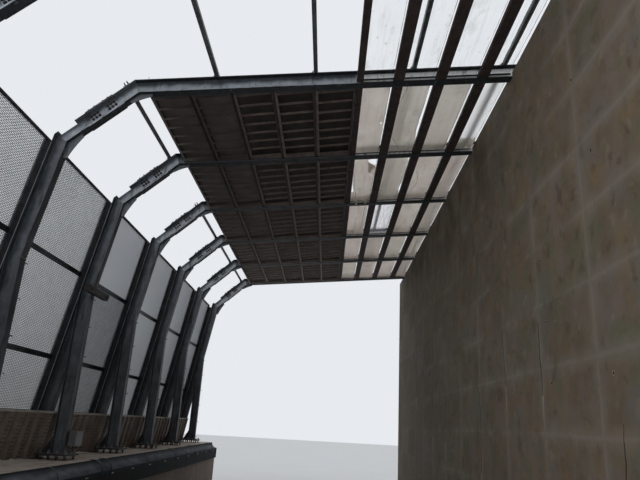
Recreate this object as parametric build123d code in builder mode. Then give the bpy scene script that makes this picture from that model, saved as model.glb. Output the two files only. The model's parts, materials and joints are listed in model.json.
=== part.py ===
"""Six bays of a roadside noise barrier that leans over the road and roofs it.

The frames stand on a concrete parapet on one side and end in a tall concrete wall on the
other. Millimetres. X runs across the road towards the wall, Y along the road, Z up from
the road. The origin is on the ground, under the middle of the whole.
"""

from build123d import *
import math
import os

# Overall
BAYS = 6
BAY = 2000
END_RUN = 1000
ROAD_WIDTH = 5066

# Concrete
PARAPET_WIDTH = 1150
PARAPET_HEIGHT = 1160
WALL_THICK = 400
WALL_HEIGHT = 5980

# Coping along the parapet's road edge
COPING_RADIUS = 140
COPING_THICK = 40
COPING_DROP = 390

# Rolled steel section of the frames
BEAM_DEPTH = 175
FLANGE_WIDTH = 120
FLANGE = 10
WEB = 8

# Frame heights and slopes
POST_SETBACK = 430
KINK_HEIGHT = 3368
KNEE_HEIGHT = 4792
EAVE_HEIGHT = 5486
LEAN = 9.65
ARM_ANGLE = 42.7
ROOF_PITCH = 5.4
BEAM_BEARING = 200
POCKET_CLEARANCE = 20

# Notch in the top of each stub, beside the column's head
NOTCH_DEPTH = 24
NOTCH_STUMP = 54
NOTCH_END = 216

# Gusset plates in the two knees: length along each member, height at the tips, and hollow
LOWER_GUSSET = (190, 45, 10)
UPPER_GUSSET = (150, 35, 10)

# Bolted joint of the stub and the arm
ARM_JOINT = 561
SPLICE_LENGTH = 390
SPLICE_WIDTH = 100
SPLICE_THICK = 10
SOFFIT_SPLICE_LENGTH = 500

# Feet
STUD_DIAMETER = 24
STUD_HEIGHT = 60
STUD_SPACING_X = 110
STUD_SPACING_Y = 280
POST_PLATE = 420
POST_PLATE_LENGTH = 400
LEG_PLATE = 250
PLATE_THICK = 20
PLATE_CLEARANCE = 4
RIB_HEIGHT = 250

# Leaning wall of panels
PANEL_POST_DEPTH = 70
PANEL_POST_WALL = 5
PANEL_TIERS = 3
TIER_HEIGHT = 1200
PANEL_LIFT = 100
PANEL_FRAME = 40
PANEL_DEPTH = 50
POST_TOP_DROP = 60
SHEET_THICK = 12
PANEL_GAP = 6

# Ribbed kick panels
KICK_HEIGHT = 560
KICK_LIFT = 35
KICK_DEPTH = 45
KICK_RIB_PITCH = 245
KICK_SHEET = 4
CAP_HEIGHT = 22

# Roof grid
GRID_START = 80
GRID_PITCH = 511
LAST_STRIP = 354
ABSORBER_STRIPS = 5
CLEAR_STRIPS = 4
BAR_WIDTH = 125
EDGE_BAR_WIDTH = 80
BAR_DEPTH = 50
ABSORBER_DEPTH = 90
TRAY_SHEET = 4
CASSETTE_END = 104
JOINT_WIDTH = 14
JOINT_DEPTH = 30
BATTEN_WIDTH = 26
LIP_WIDTH = 14
SLAT_PITCH = 242
SLAT_HEIGHT = 30
SLAT_THICK = 8
SLAT_RISE = 25
ROOF_SHEET = 6
LEDGER = 40
LEDGER_THICK = 5
SHEET_LAP = 25
SHEET_SLIT = 18
WALL_GAP = 40
PURLIN = 50
PURLINS = 4
PURLIN_START = 913
PURLIN_PITCH = 1206
ARM_PURLIN_DROP = 50
FIT = 2

# Odd pieces on one frame, and the sheet that is missing
BRACKET_THICK = 90
BRACKET_TALL = 95
BRACKET_LENGTH = 700
BRACKET_LIFT = 62
BOX_LENGTH = 250
BOX_TALL = 190
BOX_DEPTH = 85
BOX_FOOT = 95
BOX_LAP = 17
MISSING_STRIP = 2
MISSING_BAY = 4

# What follows from them
OUTER_X = -(PARAPET_WIDTH + ROAD_WIDTH + WALL_THICK) / 2
COPING_X = OUTER_X + PARAPET_WIDTH
WALL_X = COPING_X + ROAD_WIDTH
HALF_LENGTH = BAYS * BAY / 2 + END_RUN
FRAMES = [(index - BAYS / 2) * BAY for index in range(BAYS + 1)]
BAY_CENTRES = [y + BAY / 2 for y in FRAMES[:-1]]
POST_X = COPING_X - POST_SETBACK
ALONG_LEAN = Vector(math.sin(math.radians(LEAN)), 0, math.cos(math.radians(LEAN)))
TO_ROAD = Vector(ALONG_LEAN.Z, 0, -ALONG_LEAN.X)
ALONG_ARM = Vector(math.cos(math.radians(ARM_ANGLE)), 0, math.sin(math.radians(ARM_ANGLE)))
ALONG_ROOF = Vector(math.cos(math.radians(ROOF_PITCH)), 0, math.sin(math.radians(ROOF_PITCH)))
KINK = Vector(POST_X, 0, KINK_HEIGHT)
KNEE = KINK + ALONG_LEAN * ((KNEE_HEIGHT - KINK_HEIGHT) / ALONG_LEAN.Z)
ARM_LENGTH = (EAVE_HEIGHT - KNEE_HEIGHT) / ALONG_ARM.Z
EAVE = KNEE + ALONG_ARM * ARM_LENGTH
ROOF_LENGTH = (WALL_X - EAVE.X) / ALONG_ROOF.X
POST_FOOT = PARAPET_HEIGHT + STUD_HEIGHT + PLATE_THICK
LEG_FOOT = PARAPET_HEIGHT + PLATE_THICK
LEDGER_TOP = FLANGE + BAR_DEPTH + LEDGER_THICK + 2 * FIT
EXTRAS_FRAME = FRAMES[2]


def lean_line(height):
    """The point of the leaning inner face at this height."""
    return KINK + ALONG_LEAN * ((height - KINK_HEIGHT) / ALONG_LEAN.Z)


# The post's plate ends just short of the kick panels' road face
PLATE_OUTER_X = lean_line(POST_FOOT).X + KICK_DEPTH / ALONG_LEAN.Z + PLATE_CLEARANCE
POST_PLATE_X = PLATE_OUTER_X + POST_PLATE / 2

# The leaning line seen along its length, the back of the leaning panels, and the roof
LEANING = Plane(origin=lean_line(PARAPET_HEIGHT), x_dir=TO_ROAD, z_dir=ALONG_LEAN)
PANEL_FACE = Plane(origin=LEANING.origin - TO_ROAD * (BEAM_DEPTH + PANEL_POST_DEPTH),
                   x_dir=(0, -1, 0), z_dir=TO_ROAD * -1)
ROOF = Plane(origin=EAVE, x_dir=ALONG_ROOF, z_dir=Vector(-ALONG_ROOF.Z, 0, ALONG_ROOF.X))


def bisector(corner, first, second):
    """The mitre plane between two members that meet at a corner."""
    return Plane(origin=corner, z_dir=(first + second).normalized(), x_dir=(0, 1, 0))


def member(start, along, length):
    """A rolled section whose inner face runs from start, with its web upright in XZ."""
    outward = Vector(-along.Z, 0, along.X)
    section = Plane(origin=start + outward * (BEAM_DEPTH / 2), x_dir=outward, z_dir=along)
    with BuildPart() as bar:
        with BuildSketch(section):
            Rectangle(BEAM_DEPTH, FLANGE_WIDTH)
            with Locations((0, (FLANGE_WIDTH + WEB) / 4), (0, -(FLANGE_WIDTH + WEB) / 4)):
                Rectangle(BEAM_DEPTH - 2 * FLANGE, (FLANGE_WIDTH - WEB) / 2, mode=Mode.SUBTRACT)
        extrude(amount=length)
    return bar


def save(solid, name):
    """Label one node and write it."""
    solid.label = name
    export_step(solid, f"parts/{name}.step")


def on_frames(solid, name):
    """Write one node that holds a copy of the solid at every frame."""
    with BuildPart() as copies:
        with Locations(*[(0, y, 0) for y in FRAMES]):
            add(solid)
    save(copies.part, name)


def in_bays(solid, name, bays=BAY_CENTRES):
    """Write one node that holds a copy of the solid in every bay named."""
    with BuildPart() as copies:
        with Locations(*[(0, y, 0) for y in bays]):
            add(solid)
    save(copies.part, name)


os.makedirs("parts", exist_ok=True)

# Concrete wall with a pocket for the end of each roof beam
with BuildPart() as wall:
    with BuildSketch(Plane.XZ):
        with Locations((WALL_X, 0)):
            Rectangle(WALL_THICK, WALL_HEIGHT, align=(Align.MIN, Align.MIN))
    extrude(amount=HALF_LENGTH, both=True)
    for y in FRAMES:
        with BuildSketch(Plane(ROOF.origin + Vector(0, y, 0), ROOF.x_dir, ROOF.z_dir)):
            with Locations((ROOF_LENGTH - POCKET_CLEARANCE, 0)):
                Rectangle(BEAM_BEARING + 2 * POCKET_CLEARANCE, FLANGE_WIDTH + 2 * POCKET_CLEARANCE,
                          align=(Align.MIN, Align.CENTER))
        extrude(amount=BEAM_DEPTH, mode=Mode.SUBTRACT)
save(wall.part, "concrete_wall")

# Parapet with a rebate for its rounded coping
with BuildPart() as parapet:
    with BuildSketch(Plane.XZ):
        with BuildLine():
            Polyline((COPING_X - COPING_RADIUS, PARAPET_HEIGHT), (OUTER_X, PARAPET_HEIGHT),
                     (OUTER_X, 0), (COPING_X - COPING_THICK, 0),
                     (COPING_X - COPING_THICK, PARAPET_HEIGHT - COPING_RADIUS))
            RadiusArc((COPING_X - COPING_THICK, PARAPET_HEIGHT - COPING_RADIUS),
                      (COPING_X - COPING_RADIUS, PARAPET_HEIGHT - COPING_THICK),
                      COPING_RADIUS - COPING_THICK)
            Line((COPING_X - COPING_RADIUS, PARAPET_HEIGHT - COPING_THICK),
                 (COPING_X - COPING_RADIUS, PARAPET_HEIGHT))
        make_face()
    extrude(amount=HALF_LENGTH, both=True)
save(parapet.part, "parapet")

with BuildPart() as coping:
    with BuildSketch(Plane.XZ):
        with BuildLine():
            Line((COPING_X - COPING_RADIUS, PARAPET_HEIGHT),
                 (COPING_X - COPING_RADIUS, PARAPET_HEIGHT - COPING_THICK))
            RadiusArc((COPING_X - COPING_RADIUS, PARAPET_HEIGHT - COPING_THICK),
                      (COPING_X - COPING_THICK, PARAPET_HEIGHT - COPING_RADIUS),
                      -(COPING_RADIUS - COPING_THICK))
            Polyline((COPING_X - COPING_THICK, PARAPET_HEIGHT - COPING_RADIUS),
                     (COPING_X - COPING_THICK, PARAPET_HEIGHT - COPING_DROP),
                     (COPING_X, PARAPET_HEIGHT - COPING_DROP),
                     (COPING_X, PARAPET_HEIGHT - COPING_RADIUS))
            RadiusArc((COPING_X, PARAPET_HEIGHT - COPING_RADIUS),
                      (COPING_X - COPING_RADIUS, PARAPET_HEIGHT), COPING_RADIUS)
        make_face()
    extrude(amount=HALF_LENGTH, both=True)
save(coping.part, "parapet_coping")

# Posts and columns meet in a mitre at the kink
post = member(Vector(POST_X, 0, POST_FOOT), Vector(0, 0, 1), KINK_HEIGHT - POST_FOOT + BEAM_DEPTH)
kink_mitre = bisector(KINK, Vector(0, 0, 1), ALONG_LEAN)
with BuildPart() as post_cut:
    add(post.part)
    split(bisect_by=kink_mitre, keep=Keep.BOTTOM)
on_frames(post_cut.part, "posts")

knee_mitre = bisector(KNEE, ALONG_LEAN, ALONG_ARM)
column = member(KINK - ALONG_LEAN * BEAM_DEPTH, ALONG_LEAN, (KNEE - KINK).length + 2 * BEAM_DEPTH)
with BuildPart() as column_cut:
    add(column.part)
    split(bisect_by=kink_mitre, keep=Keep.TOP)
    split(bisect_by=knee_mitre, keep=Keep.BOTTOM)
on_frames(column_cut.part, "columns")

# The raking leg carries on the column's line down to the parapet, behind the post
leg_start = lean_line(LEG_FOOT) - ALONG_LEAN * BEAM_DEPTH
leg = member(leg_start, ALONG_LEAN, (KINK - leg_start).length + BEAM_DEPTH)
with BuildPart() as leg_cut:
    add(leg.part)
    split(bisect_by=Plane.XY.offset(LEG_FOOT), keep=Keep.TOP)
    split(bisect_by=Plane.YZ.offset(POST_X - BEAM_DEPTH), keep=Keep.BOTTOM)
on_frames(leg_cut.part, "raking_legs")

# The arm's stub is mitred to the column's head, and its top flange is cut away for a stretch
outer_corner = -BEAM_DEPTH * math.tan(math.radians(ALONG_LEAN.get_angle(ALONG_ARM) / 2))
notch_start = outer_corner + NOTCH_STUMP
stub = member(KNEE - ALONG_ARM * BEAM_DEPTH, ALONG_ARM, ARM_JOINT + BEAM_DEPTH)
with BuildPart() as stub_cut:
    add(stub.part)
    split(bisect_by=knee_mitre, keep=Keep.TOP)
    with BuildSketch(Plane(origin=KNEE, x_dir=ALONG_ARM, z_dir=(0, -1, 0))):
        with Locations((notch_start, BEAM_DEPTH - NOTCH_DEPTH)):
            Rectangle(NOTCH_END - notch_start, NOTCH_DEPTH, align=(Align.MIN, Align.MIN))
    extrude(amount=FLANGE_WIDTH, both=True, mode=Mode.SUBTRACT)
on_frames(stub_cut.part, "knee_stubs")

# Arms are bolted to the stubs, and meet the roof beams in a mitre at the eave
eave_mitre = bisector(EAVE, ALONG_ARM, ALONG_ROOF)
arm_start = KNEE + ALONG_ARM * ARM_JOINT
arm = member(arm_start, ALONG_ARM, ARM_LENGTH - ARM_JOINT + BEAM_DEPTH)
with BuildPart() as arm_cut:
    add(arm.part)
    split(bisect_by=eave_mitre, keep=Keep.BOTTOM)
on_frames(arm_cut.part, "arms")

beam = member(EAVE - ALONG_ROOF * BEAM_DEPTH, ALONG_ROOF, ROOF_LENGTH + BEAM_DEPTH + BEAM_BEARING)
with BuildPart() as beam_cut:
    add(beam.part)
    split(bisect_by=eave_mitre, keep=Keep.TOP)
on_frames(beam_cut.part, "roof_beams")


def gusset(corner, back, ahead, size):
    """A plate in the webs' plane that fills the inside of a knee, with a hollow free edge."""
    reach, tip, hollow = size
    side = Plane(origin=corner, x_dir=back, z_dir=back.cross(ahead))
    into = Vector(back.Z, 0, -back.X)
    beyond = Vector(ahead.Z, 0, -ahead.X)
    before = side.to_local_coords(corner - back * reach)
    before_tip = side.to_local_coords(corner - back * reach + into * tip)
    after = side.to_local_coords(corner + ahead * reach)
    after_tip = side.to_local_coords(corner + ahead * reach + beyond * tip)
    with BuildPart() as piece:
        with BuildSketch(side):
            with BuildLine():
                Polyline(before_tip, before, (0, 0), after, after_tip)
                SagittaArc(after_tip, before_tip, hollow)
            make_face()
        extrude(amount=WEB / 2, both=True)
    return piece.part


on_frames(gusset(KNEE, ALONG_LEAN, ALONG_ARM, LOWER_GUSSET), "lower_haunches")
on_frames(gusset(EAVE, ALONG_ARM, ALONG_ROOF, UPPER_GUSSET), "upper_haunches")

# Feet: a plate on short studs under each post, with a rib, and a plate under each leg
with BuildPart() as post_plate:
    with BuildSketch(Plane.XY.offset(PARAPET_HEIGHT + STUD_HEIGHT)):
        with Locations((POST_PLATE_X, 0)):
            Rectangle(POST_PLATE, POST_PLATE_LENGTH)
    extrude(amount=PLATE_THICK)
    with BuildSketch(Plane.XZ):
        with BuildLine():
            Polyline((POST_X - BEAM_DEPTH, POST_FOOT), (POST_X - BEAM_DEPTH, POST_FOOT + RIB_HEIGHT),
                     (POST_PLATE_X - POST_PLATE / 2, POST_FOOT), close=True)
        make_face()
    extrude(amount=PLATE_THICK / 4, both=True)
on_frames(post_plate.part, "post_base_plates")

with BuildPart() as studs:
    with BuildSketch(Plane.XY.offset(PARAPET_HEIGHT)):
        with Locations((POST_PLATE_X, 0)):
            with GridLocations(STUD_SPACING_X, STUD_SPACING_Y, 4, 2):
                RegularPolygon(STUD_DIAMETER / 2, 6)
    extrude(amount=STUD_HEIGHT)
on_frames(studs.part, "anchor_studs")

with BuildPart() as leg_plate:
    with BuildSketch(Plane.XY.offset(PARAPET_HEIGHT)):
        with Locations((lean_line(LEG_FOOT).X - BEAM_DEPTH / ALONG_LEAN.Z / 2, 0)):
            Rectangle(LEG_PLATE, LEG_PLATE)
    extrude(amount=PLATE_THICK)
on_frames(leg_plate.part, "leg_base_plates")

# Panel posts stand on the outer face of the columns and legs
with BuildPart() as panel_post:
    with BuildSketch(LEANING.offset(PANEL_LIFT)):
        with Locations((-BEAM_DEPTH - PANEL_POST_DEPTH / 2, 0)):
            Rectangle(PANEL_POST_DEPTH, FLANGE_WIDTH)
            Rectangle(PANEL_POST_DEPTH - 2 * PANEL_POST_WALL, FLANGE_WIDTH - 2 * PANEL_POST_WALL,
                      mode=Mode.SUBTRACT)
    extrude(amount=PANEL_TIERS * TIER_HEIGHT - POST_TOP_DROP)
on_frames(panel_post.part, "panel_posts")

# Leaning panels: a frame and a sheet in each bay of each tier
for tier, tier_name in enumerate(("lower", "middle", "upper")):
    middle = PANEL_LIFT + (tier + 0.5) * TIER_HEIGHT
    opening = (BAY - PANEL_GAP - 2 * PANEL_FRAME, TIER_HEIGHT - PANEL_GAP - 2 * PANEL_FRAME)
    with BuildPart() as panel_frame:
        with BuildSketch(PANEL_FACE):
            with Locations((0, middle)):
                Rectangle(BAY - PANEL_GAP, TIER_HEIGHT - PANEL_GAP)
                Rectangle(*opening, mode=Mode.SUBTRACT)
        extrude(amount=PANEL_DEPTH)
    in_bays(panel_frame.part, f"{tier_name}_panel_frames")
    with BuildPart() as panel_sheet:
        with BuildSketch(PANEL_FACE.offset((PANEL_DEPTH - SHEET_THICK) / 2)):
            with Locations((0, middle)):
                Rectangle(*opening)
        extrude(amount=SHEET_THICK)
    in_bays(panel_sheet.part, f"{tier_name}_panel_sheets")

# Ribbed kick panels on the road faces of the legs, each with a cap rail
rib_count = round((BAY - PANEL_GAP) / KICK_RIB_PITCH)
rib = (BAY - PANEL_GAP) / rib_count
low = KICK_SHEET / 2
high = KICK_DEPTH - KICK_SHEET / 2
wave = []
for index in range(rib_count):
    start = -(BAY - PANEL_GAP) / 2 + index * rib
    wave += [(low, start), (low, start + rib * 0.3), (high, start + rib * 0.42), (high, start + rib * 0.88)]
wave.append((low, (BAY - PANEL_GAP) / 2))
with BuildPart() as kick_panel:
    with BuildSketch(LEANING.offset(KICK_LIFT)):
        with BuildLine():
            Polyline(*wave)
        trace(line_width=KICK_SHEET)
    extrude(amount=KICK_HEIGHT)
in_bays(kick_panel.part, "kick_panels")

with BuildPart() as cap_rail:
    with BuildSketch(LEANING.offset(KICK_LIFT + KICK_HEIGHT)):
        with Locations((KICK_DEPTH / 2, 0)):
            Rectangle(KICK_DEPTH, BAY - PANEL_GAP)
    extrude(amount=CAP_HEIGHT)
in_bays(cap_rail.part, "kick_cap_rails")


def grid_line(index):
    """Distance from the eave corner, up the roof, of one line of the roof grid."""
    last_absorber = GRID_START + ABSORBER_STRIPS * GRID_PITCH
    if index <= ABSORBER_STRIPS:
        return GRID_START + index * GRID_PITCH
    clear_pitch = (ROOF_LENGTH - LAST_STRIP - last_absorber) / (CLEAR_STRIPS - 1)
    return last_absorber + (index - ABSORBER_STRIPS) * clear_pitch


def roof_strip(start, end, low_level, thickness, length):
    """A slab between two distances up the roof, at a level above the beams' soffit."""
    with BuildPart() as strip:
        with BuildSketch(ROOF.offset(low_level)):
            with Locations(((start + end) / 2, 0)):
                Rectangle(end - start, length)
        extrude(amount=thickness)
    return strip.part


# Sound absorbing cassettes lie on the lower flanges, not in the first bay. Each is a tray with
# broad borders at its ends, a batten on one side, a lip on the other, and slats that rise across
# it. Its bottom edges are rebated, so a dark joint shows between neighbours
cassette_length = BAY - WEB - 2 * FIT
pocket_length = cassette_length - 2 * CASSETTE_END
slat_count = int(pocket_length // SLAT_PITCH) + 1
with BuildPart() as cassette_row:
    for index in range(ABSORBER_STRIPS):
        left = grid_line(index) + FIT / 2
        right = grid_line(index + 1) - FIT / 2
        pocket_left = left + JOINT_WIDTH + BATTEN_WIDTH
        pocket_right = right - JOINT_WIDTH - LIP_WIDTH
        add(roof_strip(left, right, FLANGE, ABSORBER_DEPTH, cassette_length))
        add(roof_strip(pocket_left, pocket_right, FLANGE, ABSORBER_DEPTH - TRAY_SHEET,
                       pocket_length), mode=Mode.SUBTRACT)
        for edge in (left, right - JOINT_WIDTH):
            add(roof_strip(edge, edge + JOINT_WIDTH, FLANGE, JOINT_DEPTH, cassette_length),
                mode=Mode.SUBTRACT)
        with BuildSketch(Plane(ROOF.origin + ALONG_ROOF * pocket_left, x_dir=(0, 1, 0),
                               z_dir=ALONG_ROOF)):
            with Locations((0, FLANGE + SLAT_HEIGHT / 2)):
                with GridLocations(SLAT_PITCH, 0, slat_count, 1):
                    Rectangle(SLAT_THICK, SLAT_HEIGHT)
        slat = ALONG_ROOF * (pocket_right - pocket_left) + ROOF.z_dir * SLAT_RISE
        extrude(amount=slat.length, dir=slat.normalized())
for number, y in enumerate(BAY_CENTRES[1:], start=2):
    in_bays(cassette_row.part, f"absorber_roof_bay_{number}", [y])

# Grid bars lie on the lower flanges beside the absorbers
bar_length = BAY - WEB - 2 * (LEDGER_THICK + FIT)
with BuildPart() as bars:
    add(roof_strip(grid_line(ABSORBER_STRIPS) + FIT, grid_line(ABSORBER_STRIPS) + EDGE_BAR_WIDTH,
                   FLANGE, BAR_DEPTH, bar_length))
    for index in range(ABSORBER_STRIPS + 1, ABSORBER_STRIPS + CLEAR_STRIPS):
        add(roof_strip(grid_line(index) - BAR_WIDTH / 2, grid_line(index) + BAR_WIDTH / 2,
                       FLANGE, BAR_DEPTH, bar_length))
in_bays(bars.part, "roof_grid_bars")

# Ledger angles on both sides of each beam's web carry the sheets
ledger_end = ROOF_LENGTH - FIT
with BuildPart() as ledgers:
    side = Plane(ROOF.origin + ALONG_ROOF * grid_line(ABSORBER_STRIPS), x_dir=(0, 1, 0),
                 z_dir=ALONG_ROOF)
    for hand in (-1, 1):
        with BuildSketch(side):
            with BuildLine():
                Polyline((hand * WEB / 2, LEDGER_TOP - LEDGER), (hand * WEB / 2, LEDGER_TOP),
                         (hand * (WEB / 2 + LEDGER), LEDGER_TOP),
                         (hand * (WEB / 2 + LEDGER), LEDGER_TOP - LEDGER_THICK),
                         (hand * (WEB / 2 + LEDGER_THICK), LEDGER_TOP - LEDGER_THICK),
                         (hand * (WEB / 2 + LEDGER_THICK), LEDGER_TOP - LEDGER), close=True)
            make_face()
        extrude(amount=ledger_end - grid_line(ABSORBER_STRIPS))
on_frames(ledgers.part, "sheet_ledgers")

# Translucent sheets, a node for each strip between bars
sheet_length = BAY - WEB - 2 * FIT
for strip in range(CLEAR_STRIPS):
    left_line = grid_line(ABSORBER_STRIPS + strip)
    left = left_line + (EDGE_BAR_WIDTH if strip == 0 else BAR_WIDTH / 2) - SHEET_LAP
    right = grid_line(ABSORBER_STRIPS + strip + 1) - BAR_WIDTH / 2 - SHEET_SLIT
    if strip == CLEAR_STRIPS - 1:
        right = ROOF_LENGTH - WALL_GAP
    kept = [y for bay, y in enumerate(BAY_CENTRES, start=1)
            if (strip + 1, bay) != (MISSING_STRIP, MISSING_BAY)]
    in_bays(roof_strip(left, right, LEDGER_TOP, ROOF_SHEET, sheet_length),
            f"roof_sheets_strip_{strip + 1}", kept)

# Purlins on top of the beams, and one on the arms
purlin_starts = [PURLIN_START + index * PURLIN_PITCH for index in range(PURLINS - 1)]
purlin_starts.append(ROOF_LENGTH - WALL_GAP - PURLIN)
with BuildPart() as purlins:
    for start in purlin_starts:
        add(roof_strip(start, start + PURLIN, BEAM_DEPTH, PURLIN, BAYS * BAY + FLANGE_WIDTH))
save(purlins.part, "roof_purlins")

arm_top = Plane(origin=EAVE, x_dir=ALONG_ARM, z_dir=Vector(-ALONG_ARM.Z, 0, ALONG_ARM.X))
with BuildPart() as arm_purlin:
    with BuildSketch(arm_top.offset(BEAM_DEPTH)):
        with Locations((-ARM_PURLIN_DROP, 0)):
            Rectangle(PURLIN, BAYS * BAY + FLANGE_WIDTH)
    extrude(amount=PURLIN)
save(arm_purlin.part, "eave_purlin")

# Splice plates at the joint of stub and arm: on both sides of the web, on top and underneath
with BuildPart() as splices:
    side = Plane(origin=arm_start, x_dir=ALONG_ARM, z_dir=(0, -1, 0))
    for hand in (-1, 1):
        with BuildSketch(side.offset(hand * WEB / 2)):
            with Locations((0, BEAM_DEPTH / 2)):
                Rectangle(SPLICE_LENGTH, SPLICE_WIDTH)
        extrude(amount=hand * SPLICE_THICK)
    with BuildSketch(side):
        with Locations((0, BEAM_DEPTH + SPLICE_THICK / 2)):
            Rectangle(SPLICE_LENGTH, SPLICE_THICK)
        with Locations((0, -SPLICE_THICK / 2)):
            Rectangle(SOFFIT_SPLICE_LENGTH, SPLICE_THICK)
    extrude(amount=FLANGE_WIDTH / 2, both=True)
on_frames(splices.part, "splice_plates")

# Left-over bracket across a column just above its kink, and a small box beside its post
road_face = Plane(origin=KINK + ALONG_LEAN * BRACKET_LIFT + Vector(0, EXTRAS_FRAME, 0),
                  x_dir=TO_ROAD, z_dir=(0, 1, 0))
with BuildPart() as bracket:
    with BuildSketch(road_face):
        with Locations((BRACKET_THICK / 2, 0)):
            Rectangle(BRACKET_THICK, BRACKET_TALL)
    extrude(amount=BRACKET_LENGTH / 2, both=True)
save(bracket.part, "bracket_stub")

with BuildPart() as junction_box:
    with BuildSketch(Plane.YZ.offset(POST_X)):
        with Locations((EXTRAS_FRAME + FLANGE_WIDTH / 2 - BOX_LAP, POST_FOOT + BOX_FOOT)):
            Rectangle(BOX_LENGTH, BOX_TALL, align=(Align.MIN, Align.MIN))
    extrude(amount=BOX_DEPTH)
save(junction_box.part, "junction_box")
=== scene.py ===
"""The looks of a leaning roadside noise barrier: finishes, bolts, torn sheets and stains.

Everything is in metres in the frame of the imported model: X across the road towards the
tall wall, Y along the road, Z up from the road.
"""
import json
import math
import random
from itertools import product

import bmesh
import bpy
from mathutils import Matrix, Vector, noise


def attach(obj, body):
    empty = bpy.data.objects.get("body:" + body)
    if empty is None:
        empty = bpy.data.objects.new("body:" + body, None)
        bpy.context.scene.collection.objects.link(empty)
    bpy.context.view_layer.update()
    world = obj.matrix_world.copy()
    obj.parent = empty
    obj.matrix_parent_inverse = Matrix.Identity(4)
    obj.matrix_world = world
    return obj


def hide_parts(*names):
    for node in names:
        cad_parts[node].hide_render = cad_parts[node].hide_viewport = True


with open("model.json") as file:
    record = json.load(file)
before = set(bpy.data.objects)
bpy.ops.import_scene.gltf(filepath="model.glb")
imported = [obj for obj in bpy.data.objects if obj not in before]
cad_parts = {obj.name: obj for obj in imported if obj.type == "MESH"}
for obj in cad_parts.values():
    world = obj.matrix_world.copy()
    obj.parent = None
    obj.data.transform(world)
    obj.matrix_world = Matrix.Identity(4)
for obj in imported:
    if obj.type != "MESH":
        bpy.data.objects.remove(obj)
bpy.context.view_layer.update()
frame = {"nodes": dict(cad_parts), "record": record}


def slope(degrees):
    """The directions along and off a member at an angle over level."""
    turn = math.radians(degrees)
    return Vector((math.cos(turn), 0, math.sin(turn))), Vector((-math.sin(turn), 0, math.cos(turn)))


# Sizes and directions that the frame does not give by itself
BAYS, BAY = 6, 2.0
FRAMES = [(index - BAYS / 2) * BAY for index in range(BAYS + 1)]
MIDDLES = [y + BAY / 2 for y in FRAMES[:-1]]
ACROSS, ROAD, UP = Vector((1, 0, 0)), Vector((0, 1, 0)), Vector((0, 0, 1))
BOTH = (-1, 1)
ALONG_LEAN, OFF_LEAN = slope(80.35)
ALONG_ARM, OFF_ARM = slope(42.7)
ALONG_ROOF, OFF_ROOF = slope(5.4)
TO_ROAD = -OFF_LEAN
KINK, KNEE, EAVE = Vector((-2.588, 0, 3.368)), Vector((-2.346, 0, 4.792)), Vector((-1.594, 0, 5.486))
BEAM_DEPTH, FLANGE_HALF, WEB_HALF = 0.175, 0.06, 0.004
LOWER_GUSSET, UPPER_GUSSET = 0.188, 0.148
SPLICE_THICK, PLATE_THICK, WASHER_THICK = 0.01, 0.02, 0.003
POST_FOOT, WELD_STEP = 1.24, 0.014
CLIPS, CLIP_TOP, CLIP_PITCH = 6, 3.325, 0.405

# The leaning side, measured up it from the parapet's top and from the columns' road face
PARAPET_TOP = 1.16
LEAN_FOOT = KINK + ALONG_LEAN * ((PARAPET_TOP - KINK.z) / ALONG_LEAN.z)
TIERS, TIER, PANEL_LIFT, FIT = 3, 1.2, 0.1, 0.003
RAIL, GROOVE, GROOVE_SIDES, SHEET_PLAY = 0.024, 0.008, (0.018, 0.032), 0.002
BEAD, BEAD_DEPTH, STRIP_WIDTH, STRIP_THICK = 0.004, 0.011, 0.06, 0.003
PANEL_INNER, PANEL_OUTER = -0.245, -0.295
SHEET_INNER, SHEET_OUTER = -0.264, -0.276
NET_PITCH, NET_STEP, NET_HALF, NET_INSET = 0.019, 0.06, 0.965, 0.034
KICK_LIFT, KICK_HEIGHT, KICK_DEPTH, CAP_HEIGHT = 0.035, 0.56, 0.045, 0.022
KICK_RIBS, KICK_ROWS, KICK_ROW_PITCH = 8, 11, 0.046
HOOD_HALF, HOOD_HEIGHT, HOOD_DEPTH = 0.042, 0.013, 0.006
BRACKET_LIFT, BRACKET_DEPTH = 0.062, 0.09

# The coping along the parapet's road edge: its collars, seams and reflectors
COPING_X, COPING_RADIUS = -2.158, 0.14
REFLECTOR_LENGTH, REFLECTOR_LEVEL = 0.09, 0.975
COLLARS = ((-1.71, 0.05), (-1.36, 0.05), (2.37, 0.045), (4.18, 0.045), (6.29, 0.045), (-4.6, 0.045))
COPING_SEAMS = (-5.6, -3.1, 0.9, 3.3, 5.3)
REFLECTORS = (-6.3, -5.2, -4.1, -3.2, -2.23, -1.3, -0.39, 0.55, 1.55, 2.55, 3.5, 4.5, 5.5, 6.4)

# Places on the roof, measured up it from the eave and over the beams' undersides
CASSETTES, CASSETTE_START, CASSETTE_PITCH, CASSETTE_TOP = 5, 0.08, 0.511, 0.1
GRID_LINES = [2.635, 3.146, 3.657, 4.168, 4.522]
EDGE_BAR, BAR_HALF, BEAM_FLANGE = 0.08, 0.0625, 0.01
SHEET_LEVEL, SHEET_THICK, SHEET_HALF, SHEET_LAP = 0.071, 0.003, 0.99, 0.025
TORN_MESH, PLAIN_MESH = (100, 36), (48, 14)
PURLIN_STARTS = (0.913, 2.119, 3.325, 4.432)

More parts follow.
